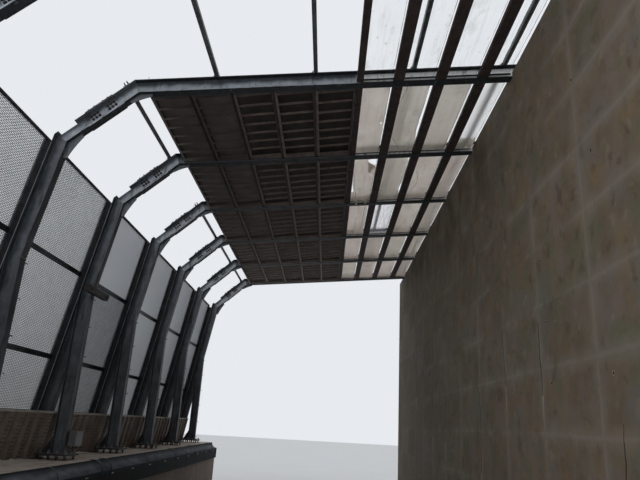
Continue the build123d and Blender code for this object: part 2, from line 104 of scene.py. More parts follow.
# Roof sheets that aren't whole, by strip and bay: shares along the bay, from the near frame, with
# the gap that shows beside the left or right bar; holes and flaps as places up and along the roof
SHEETS = {
    **{(strip, 1): dict(look=3, slack=0.004) for strip in range(1, 5)},
    (1, 2): dict(slack=0.012, left=[(0, 0.006), (0.33, 0.006), (0.4, 0.003), (1, 0.003)],
                 right=[(0, 0.016), (0.5, 0.015), (1, 0.008)],
                 holes=[[(2.92, -2.965), (2.98, -2.975), (3.06, -2.96), (3.05, -2.935), (2.96, -2.945)]]),
    (2, 2): dict(look=1, slack=0.022, ragged=0.002, fringe=True, left=[(0, 0.004), (0.9, 0.004), (1, -0.01)],
                 right=[(0, 0.03), (0.3, 0.03), (0.5, 0.034), (0.66, 0.034), (0.74, 0.016), (0.8, 0), (1, 0)],
                 creases=[((3.285, -3.95), (3.215, -3.42)), ((3.24, -2.5), (3.36, -2.16))]),
    (3, 2): dict(look=1, slack=0.014,
                 left=[(0, 0.018), (0.5, 0.016), (0.75, 0.01), (0.85, -0.002), (1, -0.01)],
                 right=[(0, 0.03), (0.5, 0.028), (1, 0.03)], slivers=[(4.0815, 4.094)]),
    (4, 2): dict(look=2, slack=0.006, right=[(0, 0.016), (1, 0.014)], cover=[(0.81, 1.01, 1)]),
    (2, 4): dict(look=4, slack=0.006, ragged=0.003,
                 right=[(0, 0.004), (0.3, 0.012), (0.6, 0.003), (1, 0.008)]),
    (1, 3): dict(slack=0.02, ragged=0.004, fringe=True,
                 left=[(0, -0.01), (0.08, -0.004), (0.1, 0.015), (0.17, 0.012), (0.2, -0.006), (0.36, -0.004),
                       (0.45, 0.012), (0.6, 0.02), (0.75, 0.05), (0.79, 0.01), (1, -0.01)],
                 right=[(0, 0.004), (0.2, 0.01), (0.3, 0), (0.6, 0.008), (1, 0)],
                 creases=[((2.745, -1.3), (2.76, -0.12)), ((3.07, -1.15), (3.05, -0.12)),
                          ((2.8, -0.5), (2.79, -0.1))],
                 holes=[[(2.93, -1.79), (2.99, -1.81), (3.1, -1.79), (3.1, -1.52), (3.06, -1.56),
                         (3.02, -1.62), (2.955, -1.7)],
                        [(3.015, -1.22), (3.045, -1.215), (3.04, -1.18), (3.02, -1.185)]],
                 flaps=[(((3.085, -1.53), (2.955, -1.69)), (2.97, -1.42), 0.05),
                        (((2.78, -0.09), (2.87, -0.085)), (2.83, -0.075), 0.085),
                        (((2.96, -0.09), (3.05, -0.085)), (3.0, -0.075), 0.07)]),
    (2, 3): dict(look=1, slack=0.018, ragged=0.004,
                 creases=[((3.585, -1.85), (3.57, -0.9)), ((3.56, -1.1), (3.54, -0.15)),
                          ((3.25, -0.9), (3.23, -0.2))],
                 right=[(0, 0), (0.07, 0.002), (0.1, 0.024), (0.14, 0.004), (0.2, 0.004), (0.225, 0.02),
                        (0.26, 0), (0.6, 0), (0.64, 0.018), (0.7, 0.026), (0.77, 0.014), (0.8, 0), (1, 0)]),
    (3, 3): dict(slack=0.012, creases=[((3.78, -1.3), (3.85, -0.85)), ((3.85, -0.85), (3.79, -0.4))],
                 left=[(0, -0.02), (0.44, -0.004), (0.5, 0.02), (0.58, 0.04), (0.66, 0.012), (0.7, -0.006),
                       (1, -0.02)], right=[(0, 0.006), (0.5, 0.003), (1, 0.008)]),
    (4, 3): dict(slack=0.006, right=[(0, 0.006), (1, 0.006)]),
    (1, 4): dict(slack=0.02, ragged=0.003, right=[(0, 0.016), (0.5, 0.004), (1, 0.012)],
                 creases=[((2.9, 0.15), (2.84, 1.85)), ((3.02, 0.1), (2.99, 1.7))]),
    (3, 4): dict(slack=0.012, right=[(0, 0.01), (0.4, 0.004), (1, 0.012)]),
    (4, 4): dict(slack=0.006, right=[(0, 0.006), (1, 0.006)]),
    (2, 5): dict(slack=0.016, right=[(0, 0.012), (0.6, 0.02), (1, 0.006)]),
    (3, 5): dict(look=1, slack=0.014),
    (4, 5): dict(look=1, slack=0.006, right=[(0, 0.008), (1, 0.006)]),
    (1, 6): dict(look=1, slack=0.012, right=[(0, 0.02), (1, 0.01)]),
    (4, 6): dict(slack=0.006, right=[(0, 0.008), (1, 0.006)]),
}

# The wall's shuttering: its boards, the fins between them and how its joints wander
BOARD_LENGTH, BOARD_HEIGHT, BOARD_START, BOARD_STEP = 1.175, 0.6, -5.587, 0.0012
FIN_HALF, FIN_HEIGHT = 0.02, 0.001
NOTCHED, FIXED_EDGE = 0.09, 0.25
SWAY, SWAY_WAVES, SWAY_SHIFT, SWAY_SHARES = 0.016, (1.7, 0.6, 2.3), 1.3, (0.6, 0.4)
WALL_FACE = 2.908 - FIN_HEIGHT

# Cracks in the wall and the holes that its formwork ties left, along it and up it
CRACKS = [
    [(-3.182, 2.98), (-3.205, 2.66), (-3.241, 2.311)],
    [(-4.391, 2.869), (-4.38, 2.52), (-4.402, 2.166)],
    [(-1.993, 4.499), (-1.965, 4.261)],
    [(1.443, 3.51), (1.452, 3.2), (1.469, 2.83), (1.50, 2.3), (1.49, 1.7)],
    [(-2.04, 2.3), (-2.06, 1.8), (-2.03, 1.3)],
    [(0.31, 2.6), (0.28, 2.2), (0.33, 1.6)],
    [(3.62, 3.7), (3.66, 3.1), (3.63, 2.5)],
    [(-5.9, 1.9), (-5.87, 1.45), (-5.93, 1.1)],
]
TIE_HOLES = [(-1.811, 3.598), (-3.415, 3.454), (-4.579, 3.447), (-4.603, 2.833), (-4.649, 2.26),
             (-3.492, 2.253), (-5.842, 2.25), (-5.011, 5.066), (-5.591, 4.859), (-5.833, 4.038),
             (0.72, 3.45), (1.92, 3.46), (0.71, 2.25), (3.1, 3.45), (4.3, 3.44), (5.5, 2.25), (4.3, 2.26),
             (-0.55, 4.65), (1.9, 4.66)]

# Patches of the wall's colour: size, shift, where they start and are full, strength and paint
WALL_PATCHES = [
    (3.1, 7, 0.52, 0.6, 0.6, (0.205, 0.138, 0.068)),
    (2.2, 21, 0.5, 0.58, 0.62, (0.13, 0.127, 0.078)),
    (2.7, 33, 0.52, 0.6, 0.55, (0.19, 0.146, 0.125)),
    (1.6, 45, 0.53, 0.63, 0.5, (0.152, 0.148, 0.13)),
    (4.6, 57, 0.58, 0.66, 0.5, (0.085, 0.058, 0.032)),
    (5.2, 71, 0.6, 0.68, 0.5, (0.26, 0.21, 0.15)),
    (13.0, 83, 0.66, 0.73, 0.55, (0.05, 0.038, 0.028)),
]

# The camera, as it stood in the road
CAMERA_PLACE = Vector((0.842, -10.117, 1.78))
CAMERA_PITCH, CAMERA_YAW, CAMERA_ROLL = 0.31017, -0.025393, 0.055654
FOCAL_PIXELS, PICTURE_WIDTH, SENSOR = 576.3, 640, 36.0

# Every finished material, by name
LOOKS = {}


def make_camera():
    """The camera at the photograph's viewing angle."""
    ahead = Vector((math.sin(CAMERA_YAW) * math.cos(CAMERA_PITCH),
                    math.cos(CAMERA_YAW) * math.cos(CAMERA_PITCH), math.sin(CAMERA_PITCH)))
    level = Vector((math.cos(CAMERA_YAW), -math.sin(CAMERA_YAW), 0))
    above = level.cross(ahead)
    right = level * math.cos(CAMERA_ROLL) + above * math.sin(CAMERA_ROLL)
    up = above * math.cos(CAMERA_ROLL) - level * math.sin(CAMERA_ROLL)
    camera = bpy.data.objects.new("camera", bpy.data.cameras.new("camera"))
    camera.data.sensor_width = SENSOR
    camera.data.lens = FOCAL_PIXELS * SENSOR / PICTURE_WIDTH
    camera.data.clip_start = 0.05
    camera.data.clip_end = 500
    camera.matrix_world = Matrix.Translation(CAMERA_PLACE) @ Matrix((right, up, -ahead)).transposed().to_4x4()
    bpy.context.collection.objects.link(camera)
    bpy.context.scene.camera = camera


class Finish:
    """A procedural material, built node by node. Its colour starts as soft patches of two others."""

    def __init__(self, name, *patches):
        self.material = LOOKS[name] = bpy.data.materials.new(name)
        self.material.use_nodes = True
        self.tree = self.material.node_tree
        self.place = self.node("TexCoord").outputs["Object"]
        self.colour = self.patchy(*patches) if patches else None

    def node(self, kind, settings=None, inputs=None):
        made = self.tree.nodes.new("ShaderNode" + kind)
        for key, value in (settings or {}).items():
            setattr(made, key, value)
        for key, value in (inputs or {}).items():
            self.put(made.inputs[key], value)
        return made

    def put(self, socket, value):
        """Link or set a socket, where a colour is three numbers."""
        if isinstance(value, bpy.types.NodeSocket):
            self.tree.links.new(value, socket)
        else:
            socket.default_value = (*value, 1) if socket.type == "RGBA" else value

    def set(self, **values):
        """Give the shader its colour and these values, with the spaces of their names as underscores."""
        for key, value in {"Base_Color": self.colour, **values}.items():
            self.put(self.tree.nodes["Principled BSDF"].inputs[key.replace("_", " ")], value)

    def stretched(self, stretch, shift=(0, 0, 0)):
        inputs = {"Vector": self.place, "Scale": stretch, "Location": shift}
        return self.node("Mapping", inputs=inputs).outputs[0]

    def noise(self, scale, detail, stretch=(1, 1, 1), shift=(0, 0, 0), rough=0.55):
        inputs = {"Vector": self.stretched(stretch, shift), "Scale": scale, "Detail": detail,
                  "Roughness": rough}
        return self.node("TexNoise", inputs=inputs).outputs[0]

    def cloud(self, low, high, *noise, **more):
        """Noise, as 0 where it is under low to 1 where it is over high."""
        return self.ramp(self.noise(*noise, **more), low, high)

    def wander(self, scale, detail, reach):
        """Noise as a shift either way."""
        return self.times(self.less(self.noise(scale, detail), 0.5), reach)

    def patchy(self, first, second, scale=7.0, low=0.33, high=0.67):
        """Two colours in soft uneven patches."""
        return self.blend(self.cloud(low, high, scale, 8, rough=0.65), first, second)

    def spots(self, scale, stretch=(1, 1, 1)):
        """Distance from the nearest of many scattered points."""
        inputs = {"Vector": self.stretched(stretch), "Scale": scale}
        return self.node("TexVoronoi", inputs=inputs).outputs["Distance"]

    def maths(self, operation, first, second=0.0):
        return self.node("Math", {"operation": operation}, {0: first, 1: second}).outputs[0]

    def times(self, first, second):
        return self.maths("MULTIPLY", first, second)

    def plus(self, first, second):
        return self.maths("ADD", first, second)

    def less(self, first, second):
        return self.maths("SUBTRACT", first, second)

    def ramp(self, value, low, high, start=0.0, end=1.0):
        """The value's part between low and high, as start to end."""
        inputs = {0: value, 1: low, 2: high, 3: start, 4: end}
        return self.node("MapRange", {"clamp": True}, inputs).outputs[0]

    def blend(self, share, first, second):
        return self.node("Mix", {"data_type": "RGBA"}, {0: share, 6: first, 7: second}).outputs[2]

    def wash(self, share, strength, paint):
        """Cover the colour so far with another, by a share."""
        self.colour = self.blend(self.times(share, strength), self.colour, paint)

    def axis(self, index, value=None):
        return self.node("SeparateXYZ", inputs={0: value or self.place}).outputs[index]

    def facing(self, index):
        """The part of the surface's direction along one axis, from -1 to 1."""
        return self.axis(index, self.node("NewGeometry").outputs["Normal"])

    def measure(self, along, start):
        """How far this place is along a direction from a start."""
        made = self.node("VectorMath", {"operation": "DOT_PRODUCT"}, {0: self.place, 1: along})
        return self.less(made.outputs["Value"], start.dot(along))

    def bump(self, height, distance):
        return self.node("Bump", inputs={"Height": height, "Distance": distance}).outputs[0]


def grey(value, warm=0.0):
    """A colour near grey, warmer or cooler by a little."""
    return value * (1 + warm), value, value * (1 - warm)


def swaying(f, first, second):
    """The same wandering as sway, in the finish."""
    wave = f.maths("SINE", f.plus(f.times(first, SWAY_WAVES[0]), f.times(second, SWAY_WAVES[1])))
    other = f.maths("SINE", f.less(f.times(second, SWAY_WAVES[2]), SWAY_SHIFT))
    return f.times(f.plus(f.times(wave, SWAY_SHARES[0]), f.times(other, SWAY_SHARES[1])), SWAY)


def to_joint(f, place, pitch):
    """Distance to the nearest joint, from a place counted in pitches."""
    off_middle = f.maths("ABSOLUTE", f.less(f.maths("FRACT", place), 0.5))
    return f.times(f.less(0.5, off_middle), pitch)


def concrete_wall_finish():
    """Shuttered wall: ochre, olive and grey patches, pale leached joints, brown stains."""
    f = Finish("wall_concrete", (0.15, 0.112, 0.073), (0.186, 0.147, 0.105), 2.4, 0.4, 0.6)
    along, up = f.axis(1), f.axis(2)
    cell_y = f.maths("DIVIDE", f.less(f.less(along, swaying(f, along, up)), BOARD_START), BOARD_LENGTH)
    cell_z = f.maths("DIVIDE", f.less(up, swaying(f, up, along)), BOARD_HEIGHT)
    board = f.node("CombineXYZ", inputs={0: f.maths("FLOOR", cell_y), 1: f.maths("FLOOR", cell_z)})
    tone = f.node("TexWhiteNoise", {"noise_dimensions": "2D"}, {"Vector": board.outputs[0]}).outputs[0]
    dist_y = to_joint(f, cell_y, BOARD_LENGTH)
    near = f.maths("MINIMUM", dist_y, to_joint(f, cell_z, BOARD_HEIGHT))
    core = f.ramp(f.plus(near, f.wander(11.0, 5, 0.05)), 0.03, 0.0)
    halo = f.ramp(f.plus(near, f.wander(3.5, 5, 0.16)), 0.12, 0.0)
    for scale, shift, low, high, strength, paint in WALL_PATCHES:
        f.wash(f.cloud(low, high, scale, 7, shift=(0, shift, 0), rough=0.6), strength, paint)
    f.wash(tone, 0.22, (0.115, 0.092, 0.066))
    f.wash(f.cloud(0.52, 0.68, 2.6, 6, (1, 2.6, 0.35)), 0.1, (0.07, 0.053, 0.034))
    low_joints = f.times(f.ramp(up, 3.0, 2.4, 0.0, 0.7), f.ramp(dist_y, 0.14, 0.08))
    strong = f.maths("MAXIMUM", f.cloud(0.48, 0.6, 1.3, 6, shift=(0, 3, 0)),
                     f.maths("MAXIMUM", f.ramp(along, -4.8, -5.5, 0.0, 0.9), low_joints))
    f.wash(f.times(halo, strong), 0.55, (0.235, 0.205, 0.168))
    f.wash(f.times(core, strong), 0.2, (0.3, 0.265, 0.22))
    drip = f.times(f.ramp(f.maths("FRACT", cell_z), 0.6, 0.97), f.cloud(0.6, 0.7, 5.5, 4, (1, 1.3, 0.6)))
    f.wash(drip, 0.4, (0.06, 0.047, 0.036))
    darker_high_up = f.times(f.ramp(up, 4.1, 5.5), f.cloud(0.42, 0.58, 2.0, 7, (1, 1.1, 0.85)))
    f.wash(f.times(darker_high_up, f.ramp(along, -3.9, -2.4)), 0.62, (0.05, 0.035, 0.018))
    # Darker and browner towards the far end along the road.
    f.wash(f.ramp(along, -2.0, 3.5), 0.6, (0.048, 0.034, 0.02))
    height = f.plus(f.times(f.noise(60.0, 6), 0.3), f.times(core, 0.3))
    height = f.plus(height, f.times(f.ramp(f.spots(38.0), 0.05, 0.16), 0.25))
    f.set(Roughness=f.ramp(tone, 0, 1, 0.82, 0.95), Specular_IOR_Level=0.25, Normal=f.bump(height, 0.004))


def parapet_finish():
    """Trowelled concrete: a pale dusty ledge on top and brown faces below."""
    f = Finish("parapet_concrete", (0.1, 0.075, 0.056), (0.17, 0.128, 0.098), 3.0)
    f.wash(f.ramp(f.facing(2), 0.4, 0.8), 1, f.patchy((0.32, 0.265, 0.215), (0.5, 0.425, 0.36), 4.0))
    f.wash(f.cloud(0.55, 0.72, 5.0, 6, (1, 0.4, 1)), 0.55, (0.1, 0.075, 0.058))
    f.wash(f.cloud(0.55, 0.7, 9.0, 4, (1, 1, 0.2)), 0.35, (0.07, 0.05, 0.04))
    pitted = f.times(f.ramp(f.spots(30.0), 0.05, 0.14), 0.5)
    f.set(Roughness=0.92, Normal=f.bump(f.plus(f.noise(70.0, 5), pitted), 0.003))


def coping_finish():
    """Dull dark sheath, with an uneven painted highlight on its up-facing crown and painted shade, near
    black, low on its side.
    """
    f = Finish("coping_sheath", (0.014, 0.016, 0.019), (0.03, 0.034, 0.041), 5.0)
    painted_light_share = f.ramp(f.noise(6.0, 6, (1, 0.4, 1)), 0.35, 0.65, 0.35, 1.0)
    # An uneven painted highlight along the up-facing crown.
    crown_highlight = f.times(f.ramp(f.facing(2), 0.12, 0.6), painted_light_share)
    f.wash(crown_highlight, 1, (0.17, 0.18, 0.205))
    # Near black low on the side, below the crown: painted shade.
    f.wash(f.ramp(f.axis(2), 1.06, 0.96), 0.9, (0.004, 0.005, 0.0055))
    f.wash(f.cloud(0.66, 0.75, 22.0, 5, (1, 0.12, 1)), 0.35, (0.12, 0.125, 0.135))
    f.set(Roughness=f.ramp(crown_highlight, 0, 1, 0.7, 0.85), Specular_IOR_Level=0.05,
          Normal=f.bump(f.noise(16.0, 4, (1, 0.3, 1)), 0.005))


def steel_finish(name, off, foot, pale, dark, shine):
    """Weathered grey paint: pale low on the webs, with painted shade higher up them, where a flange shades
    them, and on the flange faces; the roof beams also get a painted highlight.
    """
    f = Finish(name)
    level = f.measure(off, foot)
    # Painted shadow of the flange: the web darker higher up its section.
    darker_high_up = f.ramp(f.plus(level, f.wander(5.0, 6, 0.1)), 0.075, 0.125)
    web = f.blend(darker_high_up, f.patchy(grey(pale * 0.62, -0.09), grey(pale, -0.07)),
                  f.patchy(grey(dark * 0.7, -0.14), grey(dark * 1.3, -0.13), 9.0))
    if name == "roof_steel":
        # Where the clear sheets are, the web gets a painted highlight band, with painted shade below it near
        # the lower flange and above it under the top flange.
        painted_light_band = f.blend(f.ramp(level, 0.145, 0.158), grey(0.85, 0.01), grey(0.08, -0.08))
        painted_light_band = f.blend(f.ramp(level, 0.034, 0.042), grey(0.035, -0.03), painted_light_band)
        up_roof = f.measure(ALONG_ROOF, EAVE)
        web = f.blend(f.ramp(up_roof, 2.62, 2.7), web, painted_light_band)
    # The flange faces darkened as painted shade, on the arms less dark higher up.
    soffit = f.patchy(grey(0.026, -0.08), grey(0.048, -0.1), 6.0)
    if name == "arm_steel":
        soffit = f.blend(f.ramp(level, 0.1, 0.12), soffit, f.patchy(grey(0.11, -0.07), grey(0.2, -0.06), 6.0))
    f.colour = f.blend(f.ramp(f.maths("ABSOLUTE", f.facing(1)), 0.4, 0.8), soffit, web)
    f.wash(f.ramp(f.facing(2), 0.3, 0.8), 0.8, grey(0.04 if name == "roof_steel" else 0.16, -0.05))
    runs = f.cloud(0.54, 0.68, 13.0, 5, (1, 1, 0.16))
    f.wash(runs, 0.6, grey(0.026, -0.12))
    f.wash(f.cloud(0.63, 0.73, 15.0, 6, (1, 1, 0.5)), 0.4, grey(0.3, -0.06))
    f.wash(f.cloud(0.66, 0.74, 19.0, 6, shift=(3, 0, 0)), 0.5, (0.07, 0.045, 0.032))
    if name == "post_steel":
        sooty = f.times(f.ramp(f.axis(2), 3.3, 2.6), f.ramp(f.noise(3.0, 6), 0.3, 0.6, 0.25, 0.62))
        f.wash(sooty, 1, (0.03, 0.025, 0.027))
    if name == "roof_steel":
        # Painted shade under the cassettes: the roof steel darker from the second frame on, where the
        # cassettes cover it.
        f.wash(f.times(f.ramp(f.axis(1), -3.6, -2.8), f.ramp(up_roof, 2.7, 2.6)), 0.6, grey(0.012, -0.08))
    f.set(Roughness=f.ramp(runs, 0, 1, 0.5, 0.72), Specular_IOR_Level=shine,
          Normal=f.bump(f.noise(120.0, 4), 0.001))


def paint_finish(name, dark, light, rough=0.6, shine=0.25):
    """Plain paint or plastic with dust, streaks and small variations."""
    f = Finish(name, dark, light)
    f.wash(f.ramp(f.facing(2), 0.3, 0.9), 0.4, (0.2, 0.18, 0.16))
    streak = f.cloud(0.55, 0.7, 24.0, 4, (1, 1, 0.15))
    f.wash(streak, 0.4, dark)
    f.set(Roughness=f.ramp(streak, 0, 1, rough - 0.1, rough + 0.12), Specular_IOR_Level=shine,
          Normal=f.bump(f.noise(90.0, 4), 0.001))


def absorber_finish():
    """Dark brown cassettes: slats and battens over a black lining, with painted light and shade near the eave
    and painted light towards the far bays.
    """
    f = Finish("absorber_paint", (0.13, 0.102, 0.088), (0.25, 0.2, 0.172), 9.0)
    level, place = f.measure(OFF_ROOF, EAVE), f.measure(ALONG_ROOF, EAVE)
    f.wash(f.ramp(level, 0.05, 0.075), 1, f.patchy((0.032, 0.023, 0.022), (0.058, 0.045, 0.042), 5.0))
    # Near the eave, painted shade on the slats and painted light on the lining, evening out the light and
    # shade of the real shapes.
    eave_painted_light_and_shade = f.blend(f.ramp(level, 0.04, 0.085), f.patchy((0.062, 0.052, 0.048), (0.1, 0.083, 0.078), 3.0),
                   f.patchy((0.11, 0.093, 0.087), (0.175, 0.146, 0.138), 3.0))
    f.wash(f.ramp(place, 1.28, 0.98), 0.86, eave_painted_light_and_shade)
    # Painted light along the eave's edge, on the slats' undersides.
    f.wash(f.times(f.ramp(place, 0.34, 0.2), f.ramp(level, 0.046, 0.03)), 0.55, (0.3, 0.27, 0.25))
    from_frame = to_joint(f, f.maths("DIVIDE", f.axis(1), BAY), BAY)
    f.wash(f.times(f.ramp(from_frame, 0.112, 0.106), f.ramp(level, 0.02, 0.012)), 0.8, (0.05, 0.052, 0.058))
    # Painted light from the open far end: lighter towards the far bays, most on the slats.
    painted_light_share = f.times(f.ramp(f.axis(1), -2.2, 3.5), f.ramp(level, 0.075, 0.05, 0.4, 1.0))
    f.wash(painted_light_share, 0.75, f.patchy((0.22, 0.185, 0.16), (0.4, 0.34, 0.3)))
    strip = f.maths("DIVIDE", f.less(place, CASSETTE_START), CASSETTE_PITCH)
    f.wash(f.ramp(f.maths("FRACT", strip), 0.932, 0.945), 0.65, (0.03, 0.023, 0.021))
    f.set(Roughness=0.8, Specular_IOR_Level=0.25, Normal=f.bump(f.noise(90.0, 4), 0.0015))


def milky_finish(name, low, high, through=0.68, rough=0.8):
    """A dirty translucent roof sheet, streaked along its length."""
    f = Finish(name)
    f.colour = f.blend(f.cloud(0.4, 0.6, 1.6, 6), low, high)
    f.wash(f.cloud(0.5, 0.66, 22.0, 5, (1, 0.06, 1)), 0.22, [0.62 * part for part in low])
    f.wash(f.cloud(0.56, 0.68, 5.5, 6, (1, 0.45, 1), (2, 0, 0)), 0.3, (0.42, 0.42, 0.36))
    specks = f.ramp(f.spots(9.0, (1, 0.6, 1)), 0.16, 0.1)
    f.wash(f.times(specks, f.cloud(0.5, 0.62, 3.0, 3)), 0.35, (0.3, 0.28, 0.24))
    f.set(Roughness=rough, IOR=1.2, Transmission_Weight=through,
          Normal=f.bump(f.noise(11.0, 3, (1, 0.25, 1)), 0.0015))


def frosted_finish():
    """Frosted panels, brighter high up, and clearer in the bays nearest the road's entrance."""
    f = Finish("frosted_panel")
    near, nearest = f.ramp(f.axis(1), -1.9, -2.1), f.ramp(f.axis(1), -3.9, -4.1)
    low_tone = f.blend(near, grey(0.3, -0.01), grey(0.5))
    high_tone = f.blend(nearest, f.blend(near, grey(0.4, -0.03), grey(0.94, -0.01)), grey(1.0))
    f.colour = f.blend(f.ramp(f.measure(ALONG_LEAN, UP * 1.25), 0.4, 3.3), low_tone, high_tone)
    f.wash(f.cloud(0.4, 0.65, 1.6, 6), 0.12, grey(0.4, -0.02))
    f.wash(f.cloud(0.55, 0.7, 16.0, 4, (1, 1, 0.1)), 0.14, grey(0.34))
    f.set(Roughness=0.45, IOR=1.15, Transmission_Weight=0.95, Normal=f.bump(f.noise(150.0, 3), 0.0006))


def kick_finish():
    """Brown ribbed sheet, grimy towards its foot."""
    f = Finish("kick_panel_paint", (0.085, 0.062, 0.046), (0.17, 0.128, 0.098), 5.0)
    f.wash(f.ramp(f.axis(2), 1.42, 1.22), 0.4, (0.07, 0.05, 0.038))
    f.wash(f.cloud(0.55, 0.66, 3.0, 4, shift=(0, 3, 0)), 0.4, (0.08, 0.085, 0.06))
    f.wash(f.cloud(0.55, 0.7, 20.0, 4, (1, 1, 0.15)), 0.4, (0.045, 0.033, 0.026))
    f.set(Roughness=0.7, Normal=f.bump(f.noise(90.0, 4), 0.001))


# Plain paints: their dark and light colours, roughness and shine
PAINTS = {
    "stud_steel": ((0.02, 0.015, 0.012), (0.06, 0.045, 0.035), 0.7),
    "panel_frame_paint": (grey(0.012, -0.1), grey(0.03, -0.1), 0.5),
    "cap_rail_paint": ((0.2, 0.18, 0.155), (0.42, 0.38, 0.33)),
    "grid_bar_paint": ((0.048, 0.036, 0.033), (0.085, 0.066, 0.06), 0.75, 0.04),
    "purlin_paint": (grey(0.06, -0.05), grey(0.14, -0.04)),
    "box_plastic": (grey(0.08, 0.02), grey(0.15, 0.02)),
    "dark_steel": ((0.02, 0.018, 0.018), (0.055, 0.05, 0.049), 0.65, 0.12),
    "lime": ((0.2, 0.175, 0.14), (0.36, 0.32, 0.26), 0.85),
    "hood": ((0.1, 0.078, 0.062), (0.2, 0.163, 0.132)),
    "crack": ((0.008, 0.006, 0.005), (0.02, 0.016, 0.013), 0.85),
    "rubber": (grey(0.008), grey(0.018)),
    "sealant": (grey(0.2, -0.04), grey(0.36, -0.04), 0.55),
    "thread": (grey(0.16, -0.03), grey(0.3, -0.03), 0.6, 0.1),
    "zinc": (grey(0.05, -0.06), grey(0.2, -0.05), 0.45),
    "reflector": (grey(0.1), grey(0.22), 0.4),
}

# Steels: where their sections start, pale tone, dark tone of their painted shade, and shine
STEELS = {
    "frame_steel": (OFF_LEAN, KINK, 0.24, 0.07, 0.2),
    "roof_steel": (OFF_ROOF, EAVE, 0.42, 0.075, 0.08),
    "arm_steel": (OFF_ARM, KNEE, 0.5, 0.1, 0.15),
    "post_steel": (OFF_LEAN, KINK, 0.19, 0.06, 0.15),
}

# Roof sheets in the order of the looks in SHEETS: low and high tones, clearness and roughness
MILKY = {
    "roof_sheet": ((0.87, 0.79, 0.73), (0.94, 0.885, 0.82)),
    "grey_sheet": ((0.82, 0.765, 0.69), (0.9, 0.86, 0.79)),
    "white_sheet": ((0.93, 0.92, 0.9), (0.97, 0.96, 0.94), 1.0, 0.4),
    "clear_sheet": ((0.97, 0.98, 0.98), (1, 1, 1), 1.0, 0.03),
    "hazy_sheet": ((0.8, 0.78, 0.79), (0.86, 0.84, 0.85), 1.0, 0.17),
}

# Nodes whose steel has its painted shade laid across a section of its own
SPECIAL_STEEL = {"roof_beams": "roof_steel", "sheet_ledgers": "roof_steel", "arms": "arm_steel",
                 "knee_stubs": "arm_steel", "splice_plates": "arm_steel", "bracket_stub": "dark_steel",
                 "post_base_plates": "dark_steel", "leg_base_plates": "dark_steel",
                 "posts": "post_steel", "raking_legs": "post_steel"}


def dress():
    """Make the finishes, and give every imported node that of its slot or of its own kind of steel."""
    for make in (concrete_wall_finish, parapet_finish, coping_finish, absorber_finish, frosted_finish,
                 kick_finish):
        make()
    for make, table in ((steel_finish, STEELS), (paint_finish, PAINTS), (milky_finish, MILKY)):
        for name, values in table.items():
            make(name, *values)
    for part in frame["record"]["subparts"]:
        node = frame["nodes"][part["node"]]
        node.data.materials.clear()
        node.data.materials.append(LOOKS[SPECIAL_STEEL.get(part["node"], part["material_slot"])])


def on_body(name, mesh):
    """A mesh as a piece on the barrier's body."""
    piece = bpy.data.objects.new(name, mesh)
    bpy.context.collection.objects.link(piece)
    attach(piece, "root")
    return piece


def at(x, y, z):
    """A place or a shift."""
    return Vector((x, y, z))


def clamp(value):
    """The value, kept from 0 to 1."""
    return max(0.0, min(1.0, value))


def circle(centre, along, radius, sides):
    """A ring of points around a direction."""
    along = along.normalized()
    side = along.cross(UP if abs(along.z) < 0.9 else ROAD).normalized()
    other = along.cross(side)
    turns = [2 * math.pi * index / sides for index in range(sides)]
    return [centre + side * (radius * math.cos(turn)) + other * (radius * math.sin(turn)) for turn in turns]


def lean(s, r, y):
    """A point of the leaning side: s up it from the parapet's top, r towards the road."""
    return LEAN_FOOT + ALONG_LEAN * s + TO_ROAD * r + ROAD * y


def roof(u, w, y):
    """A point of the roof: u up it from the eave, w over the beams' undersides."""
    return EAVE + ALONG_ROOF * u + OFF_ROOF * w + ROAD * y


def arm(s, w, y):
    """A point of the arms: s up them from the knee, w over their undersides."""
    return KNEE + ALONG_ARM * s + OFF_ARM * w + ROAD * y


def sway(along, up):
    """How far the wall's formwork joints wander here."""
    wave = math.sin(SWAY_WAVES[0] * along + SWAY_WAVES[1] * up)
    return (wave * SWAY_SHARES[0] + math.sin(SWAY_WAVES[2] * up - SWAY_SHIFT) * SWAY_SHARES[1]) * SWAY


